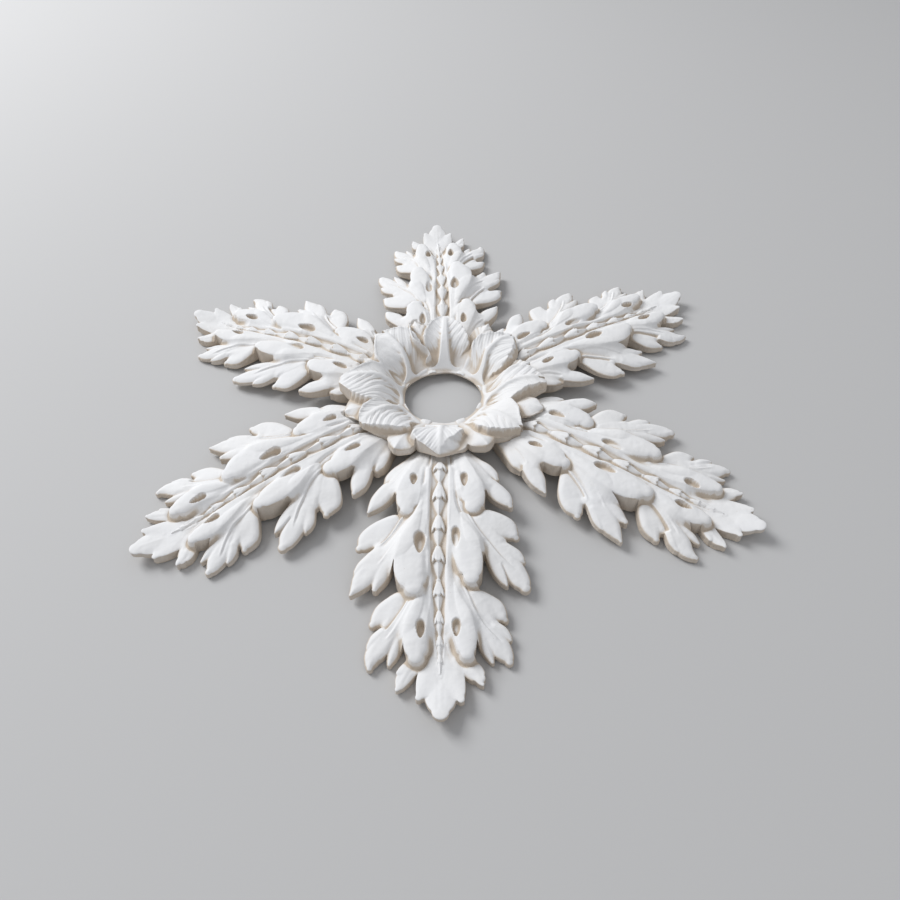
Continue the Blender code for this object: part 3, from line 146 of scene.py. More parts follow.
# Bulbs, one on each sheet next to the stem: dome, rows as above
LEFT_BULBS = {
    "basal": (0.30, ((96, 17, 5, 20), (130, 25, 9, 33), (160, 33, 12, 41), (183, 39, 15, 43),
        (200, 41, 14.5, 42.5), (209, 39.5, 10, 41.5))),
    "middle": (0.26, ((150, 9.5, 3.5, 38), (204, 11, 5, 39.5), (232, 16.5, 9, 39),
        (248, 23, 13, 39.5), (266, 29, 16.5, 40.5), (288, 33.5, 16.5, 40), (303, 36, 13.5, 39),
        (311, 36, 9, 38))),
    "upper": (0.30, ((250, 7.5, 3, 36), (300, 8.5, 4, 31), (330, 13, 7, 28),
        (348, 18.5, 10.5, 27.5), (364, 24, 12.5, 28), (382, 27.5, 13, 27.5), (396, 29, 10.5, 26.5),
        (402, 29.5, 7.5, 26))),
}
RIGHT_BULBS = {
    "basal": (0.34, ((104, 23, 6, 20), (135, 31, 9, 33), (165, 39, 12, 41), (188, 43, 15, 43),
        (204, 45, 14, 42), (213, 45, 8, 41))),
    "middle": (0.30, ((150, 17.5, 3.5, 38), (204, 22, 6, 39.5), (232, 28, 9, 39.5),
        (250, 33, 13, 40), (270, 36.5, 18, 40.5), (292, 37, 20.5, 40), (308, 36, 19.5, 39.5),
        (318, 34, 15, 38.5), (324, 33, 10, 38))),
    "upper": (0.32, ((262, 16, 3, 36), (300, 15, 4, 31), (330, 19, 7, 28), (352, 25, 10.5, 27.5),
        (370, 29, 13, 28), (386, 29.5, 13.5, 27.5), (398, 28.5, 12.5, 26), (405, 28, 8, 25))),
}
FOLDS = (  # sharp folds in the sheets: side, rows of (out, aside), depth and width of the
    # trough beyond the fold, height of the ridge on it
    (1, ((160, 19), (184, 21), (206, 29), (223, 35.5), (240, 43.5), (252, 51.5), (262, 59.5),
         (274, 68.5), (284, 78), (294, 89)), 1.4, 3.0, 1.1),
    (1, ((290, 16), (312, 24), (333, 33), (350, 39.5), (362, 46), (372, 54), (380, 62),
         (388, 70)), 1.3, 3.0, 1.0),
    (1, ((286, 71), (297, 75.5), (307, 78.5), (318, 80)), 1.6, 2.0, 0.9),
    (1, ((148, 42), (162, 45), (176, 49.5), (186, 52)), 1.2, 2.5, 0.6),
    (-1, ((212, 46), (226, 52.5), (240, 60), (252, 68), (264, 79.5)), 3.2, 9.0, 1.2),
    (-1, ((222, 38.5), (236, 43.5), (249, 50), (262, 58), (275, 67), (290, 79)), 1.0, 3.0, 0.9),
    (-1, ((335, 39), (345, 44), (355, 50.5), (365, 58), (374, 65)), 3.4, 6.5, 1.0),
    (-1, ((332, 34), (346, 40), (360, 47), (374, 56), (384, 64)), 0.9, 3.0, 0.8),
    (-1, ((140, 48), (152, 54), (163, 62), (171, 70)), 1.4, 3.0, 0.8))
VALLEYS = (  # rounded valleys: side, rows of (out, aside, half width, depth)
    (1, ((214, 25, 3, 0), (226, 28.5, 4.5, 1.6), (240, 34, 6, 1.8), (254, 40, 6.5, 1.0),
         (268, 45, 5, 0))),
    (1, ((296, 12, 3, 0), (312, 17, 3.5, 1.6), (326, 22, 4.5, 1.9), (340, 28, 5, 1.5),
         (354, 34, 4, 0))),
    (-1, ((204, 33, 3, 0), (219, 42, 3.6, 3.0), (235, 51.5, 4.2, 3.4), (248, 61, 4.2, 3.2),
          (258, 69, 4, 2.4), (268, 76, 3, 0))))
STEM_VALLEYS = (  # the same, between the stem and the bulbs
    (1, ((252, 15, 3, 0), (264, 14.5, 4.6, 2.6), (282, 14, 4.6, 2.8), (302, 14, 4.2, 2.4),
         (318, 15.5, 3.6, 1.2), (328, 17, 3, 0))),
    (1, ((372, 15, 3, 0), (384, 13, 4, 1.6), (398, 12, 4, 1.6), (412, 12, 4, 0))),
    (-1, ((268, 18, 3, 0), (278, 18.5, 3.5, 2.5), (296, 18, 3.5, 2.6), (316, 17, 4, 1.6),
          (330, 16, 4, 1.6), (346, 14.5, 4, 2.0), (362, 14, 3, 0))),
    (-1, ((138, 22, 2, 0), (150, 23, 2.4, 2.4), (170, 24, 2.4, 2.4), (180, 26, 2, 0))))
FINGER_DOME = 0.05  # of the fingers in a sheet
FINGER_SHARE = 1.3  # half widths over which a finger tells in its sheet
FINGERS_SOFT, SHEETS_SOFT = 3.0, 4.0  # of the notches between them
ROLL, ROLL_OVER, ROLL_POWER = 3.4, 9.0, 2.2  # fall of a sheet at its rim, width, steepness
MOAT, MOAT_OVER = 5.0, 10.0  # dip round the foot of a bulb's tip, and its width
BULB_POWER = 3.0  # of the bulbs' domes
BODY_DOME = 0.25  # share of its dome that a bulb's merged body has
BODY_SKIRT, TIP_SKIRT = 1.1, 3.0  # steepness beside a bulb's body, and round its tip
MERGED_TO, MERGED_OVER = 0.55, 0.25  # share of its length that is merged
BULB_TIP, BULB_TIP_OVER = 0.58, 0.22  # share of its length at which its tip begins
BULB_SOFT, BULB_TIP_SOFT = 12.0, 1.2  # of the valley beside it, and round its tip
FOLD_SHARP, FOLD_ENDS = 1.8, 0.12  # width of its steep side, share in which it dies out
LEAF_ROOT = 79.0  # inner end of the casting, from its own centre
LEAF_END, LEAF_ASIDE = 482.0, 128.0  # limits that the whole leaf lies within
LEAF_MITRE = 27.1  # half angle that the root keeps within, degrees
FALL = 3.0  # steepness beyond a lobe's edge
AXIS = ((80, -3), (160, -3.5), (250, -4.5), (340, -3), (400, -1.5), (470, 0))  # of the stem
EYES = (  # out, aside, half length, half width, depth, share of it lost towards the tip
    (168, 29, 13, 5, 7, 0.3), (258, 17.5, 17, 5.5, 8, 0.95), (372, 17.5, 11.5, 5.2, 8, 0.1),
    (167, -37.5, 11, 4.8, 8, 0.3), (265, -27, 16.5, 7.2, 10, 0.4), (374, -23.5, 12, 5.2, 10, 0.1))
CHANNEL = ((110, 10, 2), (150, 12, 5.5), (200, 12.5, 6.5), (260, 11, 6), (300, 9, 5),
           (340, 7.5, 4), (380, 5.5, 2.6), (420, 3, 1), (440, 2, 0))  # half width, depth
HUSKS = (  # mouth, length, half width of the bell flowers on the stem
    (154, 26, 9.6), (203, 31, 9.6), (250, 28, 9.2), (292, 27, 8.4), (334, 23, 7.0),
    (366, 19, 5.6), (392, 16, 4.4), (412, 14, 3.4))
HUSK_SIDE = ((0, 0.3), (0.3, 0.62), (0.65, 0.92), (0.95, 1.0), (1.1, 0.9))  # width along it
HUSK_TOP = ((-0.05, 0.25), (0.25, 0.7), (0.6, 0.95), (0.9, 1.1), (1.0, 1.0))  # height along it
PETALS = ((0, 0.1), (0.35, 0.28), (0.5, 0.55), (0.66, 0.22), (0.85, 0.1), (1.05, 0.6))  # lip
PETAL_GROOVE = 1.2  # between the middle petal and the side ones
BUD, BUD_WIDE = 0.74, 0.92  # length and width of the bud, against the flower's
BEAD, BEAD_AT = 0.36, 0.72  # radius of the bead, and its place
CHANNEL_EDGE = 4.0  # width of the channel's sloping side
ARCH = ((84, 0), (115, 2), (150, 12), (180, 18), (205, 18), (250, 11), (300, 6), (340, 2),
        (430, 1), (455, 7), (470, 14))
ARCH_FROM, ARCH_FULL = 14.0, 36.0  # the back is flat this near the stem and arched beyond
EDGE_LIFT = ((205, 0), (245, 5.0), (305, 5.0), (335, 2.5), (395, 2.5), (425, 0))
EDGE_LIFT_FULL = 70.0  # the back rises further from ARCH_FULL to this
TIP_LIFTS, TIP_LIFT_OVER = 435.0, 22.0  # the tip leaves the flat here
VEIN_FROM, VEIN_OVER = 5.0, 4.0  # half width at which a vein begins to show
VEIN_ENDS = 0.15  # share of a lobe's length in which its vein dies out
EYE_SHARP = 2.0  # steepness of an eye's wall

# Centre ring, mm
HOLE = 58.0  # half width of the hole from side to side
HOLE_X, HOLE_Y = -1.0, 0.9
HOLE_SQUASH = 1.08  # how much less it measures front to back
HOLE_WAVES = ((5, 1.0, 0.7), (9, 2.2, 0.4))  # its unevenness: waves round it, phase, height
RING_ASIDE = 170.0  # limit that the whole ring lies within
COLLAR = 62.0  # where the leaves' flutes begin, from the centre
COLLAR_HALF = 24.0  # half width of a large leaf at the collar
DISH = ((50, 12), (57, 14.2), (61, 18), (67, 24.5), (75, 33), (85, 41.5), (95, 47.5),
        (110, 52), (128, 53.5), (145, 50.5), (153, 47))
WIDTHS_AT = (92, 106, 120, 133, 145)
BIG_LEAVES = (  # direction, reach, droop of the tip, breadth of the rib, its bends; then half
    # widths, and depth and spacing of the flutes and share of the pocket, for left and right
    (87, 152, 0, 1.0, (0, 0, 0, 0, 0),
     ((32, 32, 28, 22, 12), (38, 35, 28, 20, 8)), (1.5, 1.7), (11, 12), (1.0, 0.9)),
    (40, 148, 0, 0.42, (-10, -4, 6, 8, 3),
     ((36, 38, 31, 20, 8), (38, 38, 33, 25, 9)), (1.4, 1.3), (13, 12), (0.75, 0.6)),
    (357, 153, 0, 0.3, (-6, -5, 1, 6, 7),
     ((30, 34, 32, 25, 13), (40, 36, 26, 17, 8)), (1.5, 0.7), (12, 14), (0.6, 0.45)),
    (318, 146, 0, 0.25, (0, 0, 0, -2, -5),
     ((36, 31, 24, 11, 1), (40, 42, 36, 25, 7)), (0.5, 1.5), (14, 12), (0.35, 0.35)),
    (266.5, 141, 9, 0.16, (0, 0, 0, 0, 0),
     ((38, 39, 36, 19, 0), (35, 38.5, 31.5, 15, 0)), (1.0, 1.4), (15, 15), (0.25, 0.3)),
    (216, 143, 0, 0.3, (-15, -13, -11, -8, 0),
     ((45, 43, 33, 18, 0), (30, 31, 28, 20, 4)), (1.7, 1.1), (11, 13), (0.35, 0.35)),
    (175.5, 154, 0, 0.4, (-5, -11, -13, -8, -4),
     ((40, 42, 38, 30, 18), (38, 38, 29, 19, 11)), (1.8, 0.8), (11, 13), (0.5, 0.6)),
    (133, 152, 0, 0.42, (11, 0, -6, -9, -12),
     ((38, 37, 29, 18, 7), (42, 43, 42, 36, 19)), (1.2, 1.6), (12, 12), (0.6, 0.9)))
CUTS = {  # leaf and side: half widths of the top where the margin is cut away steeply
    (1, 1): (31, 28, 22.5, 15, 3), (2, 1): (35, 27.5, 15, 10.5, 5), (3, 1): (35, 34.5, 28.5, 19, 5),
    (4, 0): (30, 22, 8, 2, 0), (5, 0): (40, 35, 22.5, 11.5, 0)}
BENDS_AT = (62, 78, 97, 122, 150)
CUT_FROM = 78.0  # the cut margins begin this far out
WALL_FOOT = 2.5  # foot of a cut margin, above the underside
RAGGED = ((2.7, 1.3, 0.9), (1.3, 1.0, 0.6))  # a cut margin's waves: length, phase, height
DROOPS, DROOP_OVER = 108.0, 36.0  # a drooping tip begins here, over this length
FLUTE_SPREAD, FLUTE_BEND = 0.30, 0.0032  # how fast they run outwards, and curve
FLANK = 3.2  # width of the slope from a rib into the pocket beside it
RIM_LINE, RIM_LINE_IN, RIM_LINE_WIDE = 0.7, 3.0, 1.1  # raised line inside a leaf's margin
CURL_DOME = 3.0
CURL = (  # rolled margin beside the far leaf: x, y, half width, crest height
    (-51, 131, 2.0, 56), (-45, 98, 1.8, 53.5), (-33, 86, 1.6, 48.5), (-23, 80, 1.6, 43),
    (-19, 74, 1.8, 37), (-24, 69, 1.8, 31))
SMALL_LEAVES = (  # direction, reach, crest height, flute depth, half width
    (60, 153, 46, 1.4, 18), (16, 138, 46, 1.2, 18), (337.5, 153, 47, 0.3, 21),
    (295, 137, 45, 0.2, 20), (241, 143, 45, 0.3, 21), (200, 151, 44, 0.2, 26),
    (154, 133, 45, 0.8, 18), (106, 150, 46, 1.4, 18))
SMALL_END, SMALL_FROM = 147.0, 90.0  # a small leaf's tip, and where its own reach tells
SMALL_WIDTH = ((62, 0.3), (72, 0.65), (92, 0.95), (122, 1), (133, 0.9), (142, 0.5), (148, 0.1))
SMALL_DISH = ((58, 17), (62, 15.5), (68, 18), (78, 24.5), (90, 31), (102, 36))
SMALL_CROWN = ((117, -4), (135, 0), (150, 0))  # against its crest height
SMALL_SLOPE = 5.5  # fall from its rib to its sides
SMALL_FLUTES = 8.5  # their spacing
FLOOR_DISH = ((50, 13), (62, 15), (70, 18), (80, 24), (95, 32), (112, 37), (130, 39))
FLOOR_REACH = 112.0  # the dish that the leaves grow from
RIB = ((56, 30), (60, 20), (64, 12), (68, 8.5), (78, 6.0), (92, 4.4), (110, 2.8), (150, 1))
COLLAR_FLARE = ((56, 22), (60, 14), (66, 6), (74, 1.5), (84, 0))  # of every rib, at its foot
POCKET = ((60, 0), (63, 4), (67, 11), (73, 14), (82, 13.5), (92, 10), (110, 6), (130, 3), (150, 1))
MARGIN = ((70, 0), (85, 3.5), (100, 6.5), (122, 5.5), (150, 2))
UNDER_CONE = ((50, 10.4), (57, 11.6), (64, 12.2), (75, 13.5), (110, 21.5), (135, 28), (160, 31))
UNDER_SADDLE = ((60, 0), (75, 1.5), (100, 4), (128, 8), (150, 11.5), (165, 12))
SADDLE_HALF = 32.0  # half width of the room for a stem
RING_THIN = 2.6  # least thickness of the ring
CLEAR = 0.8  # space under the ring over a leaf

# Fineness and finish, mm
GRID = 1.05  # spacing of the points on a casting's face
BACK_GRID, BACK_TURN = 8.0, 4  # spacing on its back, degrees on the ring's
BACK_INSET = 2.5  # from the outline to the points on the back
RING_BACK = (64.0, 150.0)  # radii of the points on the ring's back
LEAF_BACK = (LEAF_ROOT + 5, 475, -120, 120.1)  # the same on a leaf, along and across
HOLE_REACH = 80.0  # the rim of the hole lies within this
WALL_ROWS = (0.10, 0.35, 0.65, 1.0)  # rows of points down a wall, as shares of its height
WALL_ROUGH = ((5.0, 0.5, 3.1), (2.2, 0.35, 2.3))  # size, height, and skew down the wall
WALL_INSET = 0.35  # mean distance of a wall behind the outline
EDGE_ROUND, EDGE_TURN = 0.7, 0.96  # how far a cut edge is rounded over, and how fully
SHARP_ANGLE = 58.0  # of a sharp edge, degrees
FINE_FLUTES, FINE_SPACING = 0.75, 0.38  # fine ripples on the ring's leaves, and their spacing
CAST_RELIEF = ((17, 0.30), (6, 0.20), (2.6, 0.11))  # unevenness: size and height of its bumps
NOISE_CELLS = 64  # cells after which a pattern of bumps repeats
RING_SEEDS, LEAF_SEEDS, LEAF_SEED_STEP = (40, 50), (100, 60), 10  # for the face, for the walls

# Tan of raw plaster, painted also as shade in hollows, on steep faces, walls and backs and under
# the ring, as shares from 0 to 1
HOLLOWS = ((2.2, 1.2, 0.42), (5.0, 4.5, 0.50), (13.0, 12.0, 0.50))  # width, depth, share
HOLLOW_LIMITS = (-0.4, 1.2)  # of each width's part
STEEP_FROM, STEEP_OVER, RAW_AND_SHADE_STEEP = 0.9, 1.1, 0.5  # slope where it begins, range, share of tan: painted shade and raw plaster on steep faces
HIGHEST = 60.0  # above every crest
RING_RAW_AND_SHADE = 0.95  # on the ring, against the leaves: painted shade and raw plaster in its hollows
POCKET_RAW_AND_SHADE, POCKET_FROM, POCKET_OVER = 0.5, 3, 14  # in the ring's pockets, painted shade and raw plaster: share, depth, range
ROOT_RAW_AND_SHADE, ROOT_SHADE_TO, ROOT_SHADE_OVER = 0.2, 150, 24  # at a leaf's root under the ring, painted shadow and raw plaster: share, place, range
WALL_RAW_AND_SHADE, BACK_RAW_AND_SHADE = 0.75, 0.9  # on the walls, and on the backs: painted shade and raw plaster

# Plaster; scales are in cells a metre
WORN_TONES = (0.835, 0.845, 0.865, 1), (0.875, 0.872, 0.865, 1)
# tan of raw plaster, also painted shade in hollows and on walls; tone of the specks
RAW_AND_SHADE_TONE, SPECK_TONE = (0.60, 0.52, 0.43, 1), (0.72, 0.68, 0.62, 1)
PIT_TONE = (0.50, 0.42, 0.34, 1)
ROUGHNESS, SPECULAR = 0.88, 0.18
PATCHES, SPECKS, GRAIN = (14, 5), (420, 3), (1500, 4)  # scale and detail
PIT_SCALE = 150.0
PATTERN_SHIFT = (0.37, 0.19)  # of the patterns from one casting to the next
PATCH_SHIFT, SPECK_SHIFT = 0.5, 0.18  # how far they move the edge of the raw plaster
RAW_SHADE_FROM, RAW_SHADE_TO = 0.18, 0.95  # range in which the tan of painted shade and raw plaster fades in
SPECK_TINT, PIT_TINT = 0.10, 0.55
PIT_RARE = 0.80  # share of the cells without a pit
PIT_SIZE, PIT_SIZE_RANGE = 0.05, 0.09  # radius in cells, and how much it varies
GRAIN_BUMP, SPECK_BUMP, PIT_BUMP = 0.35, 0.65, -1.6
BUMP_STRENGTH, BUMP_DEPTH = 0.35, 0.0004

# Studio, m and degrees
FLOOR_HALF, FLOOR_TONE, FLOOR_ROUGH = 6.0, (0.56, 0.56, 0.56, 1), 0.9
LIGHTS = (  # name, size, power, colour, place
    ("key", 2.4, 200, (0.985, 0.99, 1.0), (-3.2, 2.2, 3.4)),
    ("fill", 3.0, 8, (0.95, 0.97, 1.0), (2.4, -3.0, 3.0)))
SKY_TONE, SKY_STRENGTH = (0.96, 0.97, 1.0, 1), 0.46
VIEW = (-1.22, 48.95, -0.94)  # azimuth, elevation and roll
AIM_X, AIM_Y, DISTANCE = 0.0067, -0.094, 1.0165  # aim from the ring's centre, camera from it
LENS, SENSOR, CLIP_START = 28.3, 36, 0.01


def soft(x, table):
    """Smooth curve through a table of (position, value)."""
    xs, ys = np.array(table, float).T
    step = np.diff(xs)
    slope = np.diff(ys) / step
    tangent = np.concatenate([slope[:1], np.zeros(len(xs) - 2), slope[-1:]])
    same = slope[:-1] * slope[1:] > 0
    total = np.where(same, slope[:-1] + slope[1:], 1)
    tangent[1:-1] = np.where(same, 2 * slope[:-1] * slope[1:] / total, 0)
    x = np.clip(x, xs[0], xs[-1])
    i = np.clip(np.searchsorted(xs, x, side="right") - 1, 0, len(xs) - 2)
    t = (x - xs[i]) / step[i]
    value = ys[i] * (1 + 2 * t) * (1 - t) ** 2 + ys[i + 1] * t * t * (3 - 2 * t)
    bend = tangent[i] * t * (1 - t) ** 2 + tangent[i + 1] * t * t * (t - 1)
    return value + step[i] * bend


def ramp(x, start, over):
    """From 0 at the start to 1 after the given length."""
    return np.clip((x - start) / over, 0, 1)


def bump(x, half):
    """Rounded ridge of height 1."""
    return np.exp(-((x / half) ** 2))


def spline(rows, count):
    """Rows interpolated along a smooth curve."""
    a = np.array(rows, float)
    q = np.vstack([2 * a[0] - a[1], a, 2 * a[-1] - a[-2]])
    per = max(2, -(-count // (len(a) - 1)))
    t = (np.arange(per) / per)[:, None]
    out = []
    for p0, p1, p2, p3 in zip(q[:-3], q[1:-2], q[2:-1], q[3:]):
        square = 2 * p0 - 5 * p1 + 4 * p2 - p3
        cube = -p0 + 3 * p1 - 3 * p2 + p3
        out.append(0.5 * (2 * p1 + (p2 - p0) * t + square * t**2 + cube * t**3))
    return np.vstack(out + [a[-1:]])


def sweep(x, y, rows, count=30, beyond=0.9):
    """Along a curve: distance from it, 1 on its left or -1, share of the way, and the rows'
    other columns; the last one runs on beyond the end, by this share of the half width."""
    c = spline(rows, count)
    near, side, along = (np.full(x.shape, v) for v in (1e9, 1.0, 0.0))
    rest = np.zeros((c.shape[1] - 2, *x.shape))
    for i, (a, b) in enumerate(zip(c[:-1], c[1:])):
        dx, dy = b[:2] - a[:2]
        length = dx * dx + dy * dy + 1e-9
        run = ((x - a[0]) * dx + (y - a[1]) * dy) / length
        t = np.clip(run, 0, 1)
        ex, ey = x - a[0] - t * dx, y - a[1] - t * dy
        d = np.hypot(ex, ey)
        closer = d < near
        near = np.where(closer, d, near)
        side = np.where(closer, np.where(dx * ey > dy * ex, 1.0, -1.0), side)
        along = np.where(closer, (i + t) / (len(c) - 1), along)
        for k in range(len(rest)):
            if beyond and i == len(c) - 2 and k == len(rest) - 1:
                t = np.clip(run, 0, 1 + beyond * b[2] / length**0.5)
            rest[k] = np.where(closer, a[2 + k] + t * (b[2 + k] - a[2 + k]), rest[k])
    return near, side, along, rest


def vein_relief(near, width, along):
    """Fine raised vein between two grooves along the middle of a lobe."""
    fade = ramp(width, VEIN_FROM, VEIN_OVER) * ramp(1 - along, 0, VEIN_ENDS)
    return fade * (0.8 * bump(near, 1.4) - bump(near - 3.4, 1.3))


def lobe(x, y, dome, power, vein, rows):
    """Height of one domed lobe, and distance outside its edge."""
    near, _, along, (width, crest) = sweep(x, y, rows)
    high = crest - dome * width * np.minimum(near / width, 1) ** power
    high += vein * vein_relief(near, width, along)
    return high - FALL * np.maximum(near - width, 0), near - width


def bulb(x, y, dome, rows):
    """Height of one bulb, distance outside its edge, and how much it is the bulb's tip."""
    near, _, along, (width, crest) = sweep(x, y, rows)
    free = ramp(along, MERGED_TO, MERGED_OVER)
    dome *= BODY_DOME + (1 - BODY_DOME) * free
    high = crest - dome * width * np.minimum(near / width, 1) ** BULB_POWER
    high -= (BODY_SKIRT + (TIP_SKIRT - BODY_SKIRT) * free) * np.maximum(near - width, 0)
    return high, near - width, ramp(along, BULB_TIP, BULB_TIP_OVER)


def sheet(x, y, fingers):
    """Fingers of one group as one sheet, rolled down at its rim; distance outside the rim."""
    total, weight = np.zeros(x.shape), np.zeros(x.shape)
    out, soft_out = np.full(x.shape, 1e3), np.full(x.shape, 1e3)
    for rows in fingers:
        near, _, _, (width, crest) = sweep(x, y, rows)
        share = np.maximum(FINGER_SHARE - near / width, 0) ** 2 + 1e-5 * np.exp(-near / 20)
        total += share * (crest - FINGER_DOME * width * np.minimum(near / width, 1) ** 2)
        weight += share
        out = np.minimum(out, near - width)
        soft_out = -blend(-soft_out, width - near, FINGERS_SOFT)
    roll = ROLL * ramp(soft_out, -ROLL_OVER, ROLL_OVER) ** ROLL_POWER
    return total / weight - roll - FALL * np.maximum(out, 0), out


def carved(x, y, folds, valleys):
    """Relief of folds and valleys cut into the leaf."""
    relief = np.zeros(x.shape)
    for side, rows, depth, width, ridge in folds:
        near, left, t, _ = sweep(x, side * y, rows, 24, 0)
        s = near * left
        ends = ramp(t, 0, FOLD_ENDS) * ramp(1 - t, 0, FOLD_ENDS)
        beyond = np.exp(-np.maximum(s - FOLD_SHARP, 0) / width)
        relief += ends * (ridge * bump(s + 0.6, 1.5) - depth * ramp(s, 0, FOLD_SHARP) * beyond)
    for side, rows in valleys:
        near, _, t, (half, depth) = sweep(x, side * y, rows, 24, 0)
        relief -= depth * bump(near, half) * (t > 0) * (t < 1)
    return relief


def blend(a, b, k=2.2):
    """The larger of two, with the valley between them softened."""
    h = np.maximum(k - np.abs(a - b), 0) / k
    return np.maximum(a, b) + h * h * k * 0.25


def husk_relief(x, y):
    """Bell flowers strung along the channel in the stem, y from the stem's axis."""
    at, half, deep = np.array(CHANNEL, float).T
    half, deep = np.interp(x, at, half), np.interp(x, at, deep)
    side = np.abs(y)
    relief = -deep * ramp(half - side, -CHANNEL_EDGE / 2, CHANNEL_EDGE)
    for mouth, length, wide in HUSKS:
        q = (x - mouth + length) / length
        u = side / (wide * soft(q, HUSK_SIDE))
        ends = ramp(q, -0.02, 0.12) * ramp(mouth - soft(u, PETALS) * wide - x, -0.7, 1.4)
        bell = wide * soft(q, HUSK_TOP) * np.sqrt(np.clip(1 - u**2.4, 0, 1))
        bell = ends * (bell - PETAL_GROOVE * bump(u - 0.5, 0.12) * ramp(q, 0.45, 0.3))
        t = (x - mouth) / (BUD * length)
        slim = BUD_WIDE * wide * np.clip(1 - t, 0.02, 1) ** 0.7
        bud = wide * (0.85 - 0.3 * t) * np.clip(1 - (side / slim) ** 1.3, 0, 1)
        bud *= ramp(1 - t, 0, 0.15) * ramp(t, -0.5, 0.2)
        apart = ((x - mouth - BEAD_AT * length) ** 2 + side**2) / (BEAD * wide) ** 2
        bead = 0.5 * wide * np.sqrt(np.clip(1 - apart, 0, 1))
        relief = np.maximum(relief, np.maximum(np.maximum(bell, bud), bead) - deep)
    return relief


def leaf_face(x, y):
    """Front of the leaf casting, and distance outside its outline."""
    high, out = np.full(x.shape, -1e3), np.full(x.shape, 1e3)
    for sheets, side in ((LEFT_SHEETS, 1), (RIGHT_SHEETS, -1)):
        for fingers in sheets.values():
            m = nearby(x, side * y, [row for rows in fingers.values() for row in rows])
            h, d = sheet(x[m], side * y[m], fingers.values())
            high[m] = blend(high[m], h, SHEETS_SOFT)
            out[m] = np.minimum(out[m], d)
    for lobes, side in ((MIDDLE_LOBES, 1), (LEFT_LOBES, 1), (RIGHT_LOBES, -1)):
        for shape in lobes.values():
            m = nearby(x, side * y, shape[-1])
            h, d = lobe(x[m], side * y[m], *shape)
            high[m] = blend(high[m], h)
            out[m] = np.minimum(out[m], d)
    high += carved(x, y, FOLDS, VALLEYS)
    for bulbs, side in ((LEFT_BULBS, 1), (RIGHT_BULBS, -1)):
        for dome, rows in bulbs.values():
            m = nearby(x, side * y, rows)
            h, d, tip = bulb(x[m], side * y[m], dome, rows)
            dip = MOAT * tip * ramp(-np.maximum(d, 0), -MOAT_OVER, MOAT_OVER) ** 2
            high[m] = blend(high[m] - dip, h, BULB_SOFT + (BULB_TIP_SOFT - BULB_SOFT) * tip)
            out[m] = np.minimum(out[m], d)
    high += carved(x, y, (), STEM_VALLEYS)
    high += husk_relief(x, y - soft(x, AXIS))
    for px, py, long, wide, deep, lost in EYES:
        t = np.clip((x - px) / long, -1, 1)
        u = t**2 + ((y - py) / (wide * (1 - 0.35 * t))) ** 2
        high -= deep * (1 - lost * (1 + t) / 2) * np.clip((1 - u) * EYE_SHARP, 0, 1)
    mitre = np.abs(y) * cos(radians(LEAF_MITRE)) - x * sin(radians(LEAF_MITRE))
    return high, np.maximum(out, np.maximum(LEAF_ROOT - x, mitre))


def nearby(x, y, rows, reach=48):
    """Which points lie within reach of a lobe's rows."""
    spots = np.array(rows)[:, :2]
    (x0, y0), (x1, y1) = spots.min(0) - reach, spots.max(0) + reach
    return (x > x0) & (x < x1) & (y > y0) & (y < y1)


def leaf_back(x, y):
    """Back of the leaf casting: flat under the stem, arched under its lobes."""
    s = ramp(np.abs(y), ARCH_FROM, ARCH_FULL - ARCH_FROM)
    s = np.maximum(s, ramp(x, TIP_LIFTS, TIP_LIFT_OVER))
    arch = np.interp(x, *np.array(ARCH, float).T) * s
    lift = np.interp(x, *np.array(EDGE_LIFT, float).T)
    return arch + lift * ramp(np.abs(y), ARCH_FULL, EDGE_LIFT_FULL - ARCH_FULL)


def turned(x, y, degrees):
    """Along and across a direction."""
    a = radians(degrees)
    return x * cos(a) + y * sin(a), -x * sin(a) + y * cos(a)


def fluting(x, side, spacing, n):
    """Rounded ridges along a leaf, bending outwards to its margin, 0 in the valleys."""
    t = x - COLLAR
    phase = (side - FLUTE_SPREAD * t - FLUTE_BEND * t * t) / spacing + 0.37 * n
    wander = 0.24 * np.sin(x / 12 + 2.1 * n) + 0.20 * np.sin(side / 7 + n)
    uneven = 0.8 + 0.2 * np.sin(side / 9.5 + 1.7 * n + x / 31)
    return uneven * np.abs(np.sin(pi * (phase + wander))) ** 1.15


def half_widths(x, reach, sizes):
    """Half width along a large leaf, from the collar to its tip."""
    return soft(x, ((COLLAR - 8, COLLAR_HALF), (COLLAR + 12, COLLAR_HALF),
                    *zip(WIDTHS_AT, sizes), (reach + 6, 0)))


